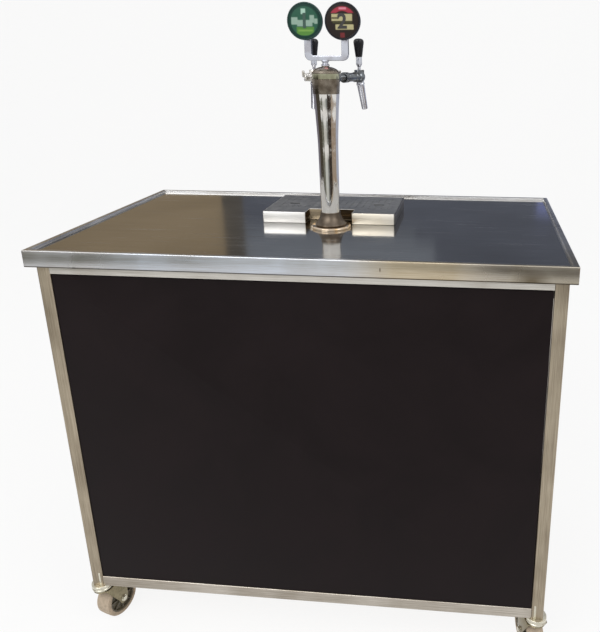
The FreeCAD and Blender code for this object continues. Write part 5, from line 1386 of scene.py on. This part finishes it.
# Cards that hang outside the camera's view for the polished metal to reflect. Those at the back:
# name, distance, least and most x, least and most height, and colour.
BACK_CARDS = (
    ("card_back_right", 5.0, (-2.2, 3.4), (1.2, 4.8), (0.115, 0.125, 0.155)),
    ("card_back_left", 5.0, (-6.6, -2.2), (1.2, 4.8), (0.30, 0.235, 0.155)),
    ("card_back_seam", 4.9, (-2.2, -1.98), (1.2, 4.8), (0.11, 0.1, 0.088)),
    ("card_back_low_glow", 4.9, (-1.98, -0.2), (2.3, 2.46), (0.16, 0.175, 0.205)),
    ("card_back_glow", 4.9, (-1.98, 0.0), (2.46, 2.9), (0.215, 0.235, 0.27)),
    ("card_back_glint", 4.9, (1.0, 1.16), (1.97, 2.1), (0.26, 0.3, 0.6)),
)

# Those in a ring: name, first and last turn in degrees from the front, least and most height,
# and colour.
RING_RADIUS = 2.7
RING_CARDS = (
    ("card_far_left", -168, -97, 0.3, 1.3, (0.22, 0.21, 0.25)),
    ("card_left", -97, -52, 0.3, 1.3, (0.075, 0.065, 0.05)),
    ("card_near_left", -52, -28, 0.35, 0.84, (0.19, 0.19, 0.155)),
    ("card_near", -28, 2, 0.4, 0.8, (0.62, 0.63, 0.60)),
    ("card_viewer_left", 2, 16, 0.4, 0.8, (0.24, 0.25, 0.24)),
    ("card_viewer", 16, 50, 0.3, 0.86, (0.053, 0.042, 0.035)),
    ("card_right", 50, 108, 0.3, 0.9, (0.40, 0.32, 0.25)),
    ("card_far_right", 108, 192, 0.3, 1.3, (0.458, 0.49, 0.6)),
)


def seen(tree):
    """Mask that is one for the camera and for reflections."""
    return node(tree, "Math", operation="MAXIMUM", in0=node(tree, "LightPath", "Is Camera Ray"),
                in1=node(tree, "LightPath", "Is Glossy Ray"))


def matt_paper(colour):
    """Matt paper that keeps the shadow, and to the camera and in reflections is mostly white
    light, so that it looks like one even ground."""
    material, tree = new_material("matt_studio_paper")
    shader = tree.nodes["Principled BSDF"]
    fill(tree, shader, {"Base_Color": colour, "Roughness": 0.9, "Specular_IOR_Level": 0.1})
    white = 0.88
    share = node(tree, "Math", operation="MULTIPLY", in0=seen(tree), in1=white)
    glow = node(tree, "Emission", Color=(1, 1, 1, 1), Strength=1.0)
    both = node(tree, "MixShader", in0=share, in1=shader.outputs[0], in2=glow)
    fill(tree, tree.nodes["Material Output"], {"Surface": both})
    return material


def lit_felt(name, colour):
    """Felt that gives off an even colour."""
    material, tree = new_material(name)
    glow = node(tree, "Emission", Color=(*colour, 1.0), Strength=1.0)
    fill(tree, tree.nodes["Material Output"], {"Surface": glow})
    return material


class BEERBAR_OT_stage(bpy.types.Operator):
    """Pale floor and backdrop, soft lamps, cards for the metal to reflect, and the camera"""
    bl_idname = "beerbar.stage"
    bl_label = "Stage"

    def execute(self, context):
        settings = context.scene.stage_settings
        self.add_floor(tuple(settings.floor))
        for name, far, (low, high), levels, colour in BACK_CARDS:
            self.add_card(name, [(low, far), (high, far)], levels, colour)
        for name, start, end, low, high, colour in RING_CARDS:
            turn = np.radians([start, end])
            foot = RING_RADIUS * np.column_stack([np.sin(turn), -np.cos(turn)])
            self.add_card(name, foot, (low, high), colour)
        self.add_lamp("key_lamp", (-1.6, -3.2, 3.6), (0, -0.1, 0.9), 2.6, settings.key)
        self.add_lamp("fill_lamp", (2.6, -1.7, 3.7), (0, 0, 0.8), 2.2, settings.fill)
        self.add_world(context.scene, settings.sky)
        self.add_camera(context.scene)
        context.scene.view_settings.view_transform = "Standard"
        return {"FINISHED"}

    def add_floor(self, colour):
        """Paper sweep: the floor runs back, turns up on an arc and becomes the backdrop."""
        line = rounded([(-9, 0), (7, 0), (7, 9)], 3.0, steps=24)
        across = np.linspace(-14, 14, 5)
        rows = np.array([[(x, y, z) for x in across] for y, z in line])
        index = np.arange(rows[..., 0].size).reshape(rows.shape[:2])
        quads = np.stack([index[:-1, :-1], index[:-1, 1:], index[1:, 1:], index[1:, :-1]], -1)
        skin("paper_sweep", rows.reshape(-1, 3), quads.reshape(-1, 4).tolist(),
                      matt_paper(colour))

    def add_card(self, name, foot, levels, colour):
        """Upright card over two points of the floor. Only reflections see it."""
        points = [(*foot[end], levels[up]) for end, up in ((0, 0), (1, 0), (1, 1), (0, 1))]
        item = skin(name, points, [(0, 1, 2, 3)], lit_felt(name + "_felt", colour))
        item.visible_camera = item.visible_diffuse = item.visible_shadow = False

    def add_lamp(self, name, place, aim, size, power):
        """Square soft box that points at the object."""
        lamp = bpy.data.lights.new(name, "AREA")
        lamp.size = size
        lamp.energy = power
        item = placed(name, lamp)
        item.location = place
        item.rotation_euler = (Vector(aim) - Vector(place)).to_track_quat("-Z", "Y").to_euler()

    def add_world(self, scene, sky):
        """Even room light, white to the camera and in reflections."""
        scene.world = bpy.data.worlds.new("even_room_light")
        scene.world.use_nodes = True
        tree = scene.world.node_tree
        power = node(tree, "Mix", data_type="FLOAT", in0=seen(tree), in2=sky, in3=1.0)
        fill(tree, tree.nodes["Background"], {"Color": (1, 1, 1, 1), "Strength": power})

    def add_camera(self, scene):
        """Camera at eye height, a little right of the middle, looking down on the counter."""
        forward = np.array([math.sin(CAMERA_YAW) * math.cos(CAMERA_PITCH),
                            math.cos(CAMERA_YAW) * math.cos(CAMERA_PITCH),
                            -math.sin(CAMERA_PITCH)])
        right = np.array([math.cos(CAMERA_YAW), -math.sin(CAMERA_YAW), 0])
        down = np.cross(forward, right)
        c, s = math.cos(CAMERA_ROLL), math.sin(CAMERA_ROLL)
        across, below = c * right + s * down, c * down - s * right
        lens = bpy.data.cameras.new("viewer")
        lens.sensor_width = 36.0
        long_side = max(FRAME_WIDTH, FRAME_HEIGHT)
        lens.lens = LENS_PIXELS * lens.sensor_width / long_side
        lens.shift_x = (FRAME_WIDTH / 2 - CENTRE_X) / long_side
        lens.shift_y = (CENTRE_Y - FRAME_HEIGHT / 2) / long_side
        scene.camera = placed("viewer", lens)
        turn = Matrix(np.column_stack([across, -below, -forward]).tolist())
        scene.camera.matrix_world = Matrix.Translation(CAMERA_PLACE) @ turn.to_4x4()


# --------------------------------------------------------------------- add-on

OPERATORS = (BEERBAR_OT_worktop, BEERBAR_OT_frame, BEERBAR_OT_panels, BEERBAR_OT_tower,
             BEERBAR_OT_badges, BEERBAR_OT_taps, BEERBAR_OT_tray, BEERBAR_OT_casters,
             BEERBAR_OT_cooler, BEERBAR_OT_stage)
GROUPS = {"counter_sizes": CounterSizes, "counter_colours": CounterColours,
          "stage_settings": StageSettings}


class BEERBAR_PT_sidebar(bpy.types.Panel):
    """Lists the settings and the steps"""
    bl_idname = "BEERBAR_PT_sidebar"
    bl_label = "Beer counter"
    bl_space_type = "VIEW_3D"
    bl_region_type = "UI"
    bl_category = "Beer counter"

    def draw(self, context):
        for name, group in GROUPS.items():
            box = self.layout.box()
            for word in group.__annotations__:
                box.prop(getattr(context.scene, name), word)
        for step in OPERATORS:
            self.layout.operator(step.bl_idname)


def register():
    """Registers the settings, the steps and the panel."""
    for group in GROUPS.values():
        bpy.utils.register_class(group)
    for name, group in GROUPS.items():
        setattr(bpy.types.Scene, name, PointerProperty(type=group))
    for step in (*OPERATORS, BEERBAR_PT_sidebar):
        bpy.utils.register_class(step)


def unregister():
    """Takes everything back in the opposite order."""
    for step in reversed((*OPERATORS, BEERBAR_PT_sidebar)):
        bpy.utils.unregister_class(step)
    for name, group in GROUPS.items():
        delattr(bpy.types.Scene, name)
        bpy.utils.unregister_class(group)


def main():
    """Builds the whole scene."""
    register()
    for step in OPERATORS:
        group, name = step.bl_idname.split(".")
        getattr(getattr(bpy.ops, group), name)()


if __name__ == "__main__":
    main()
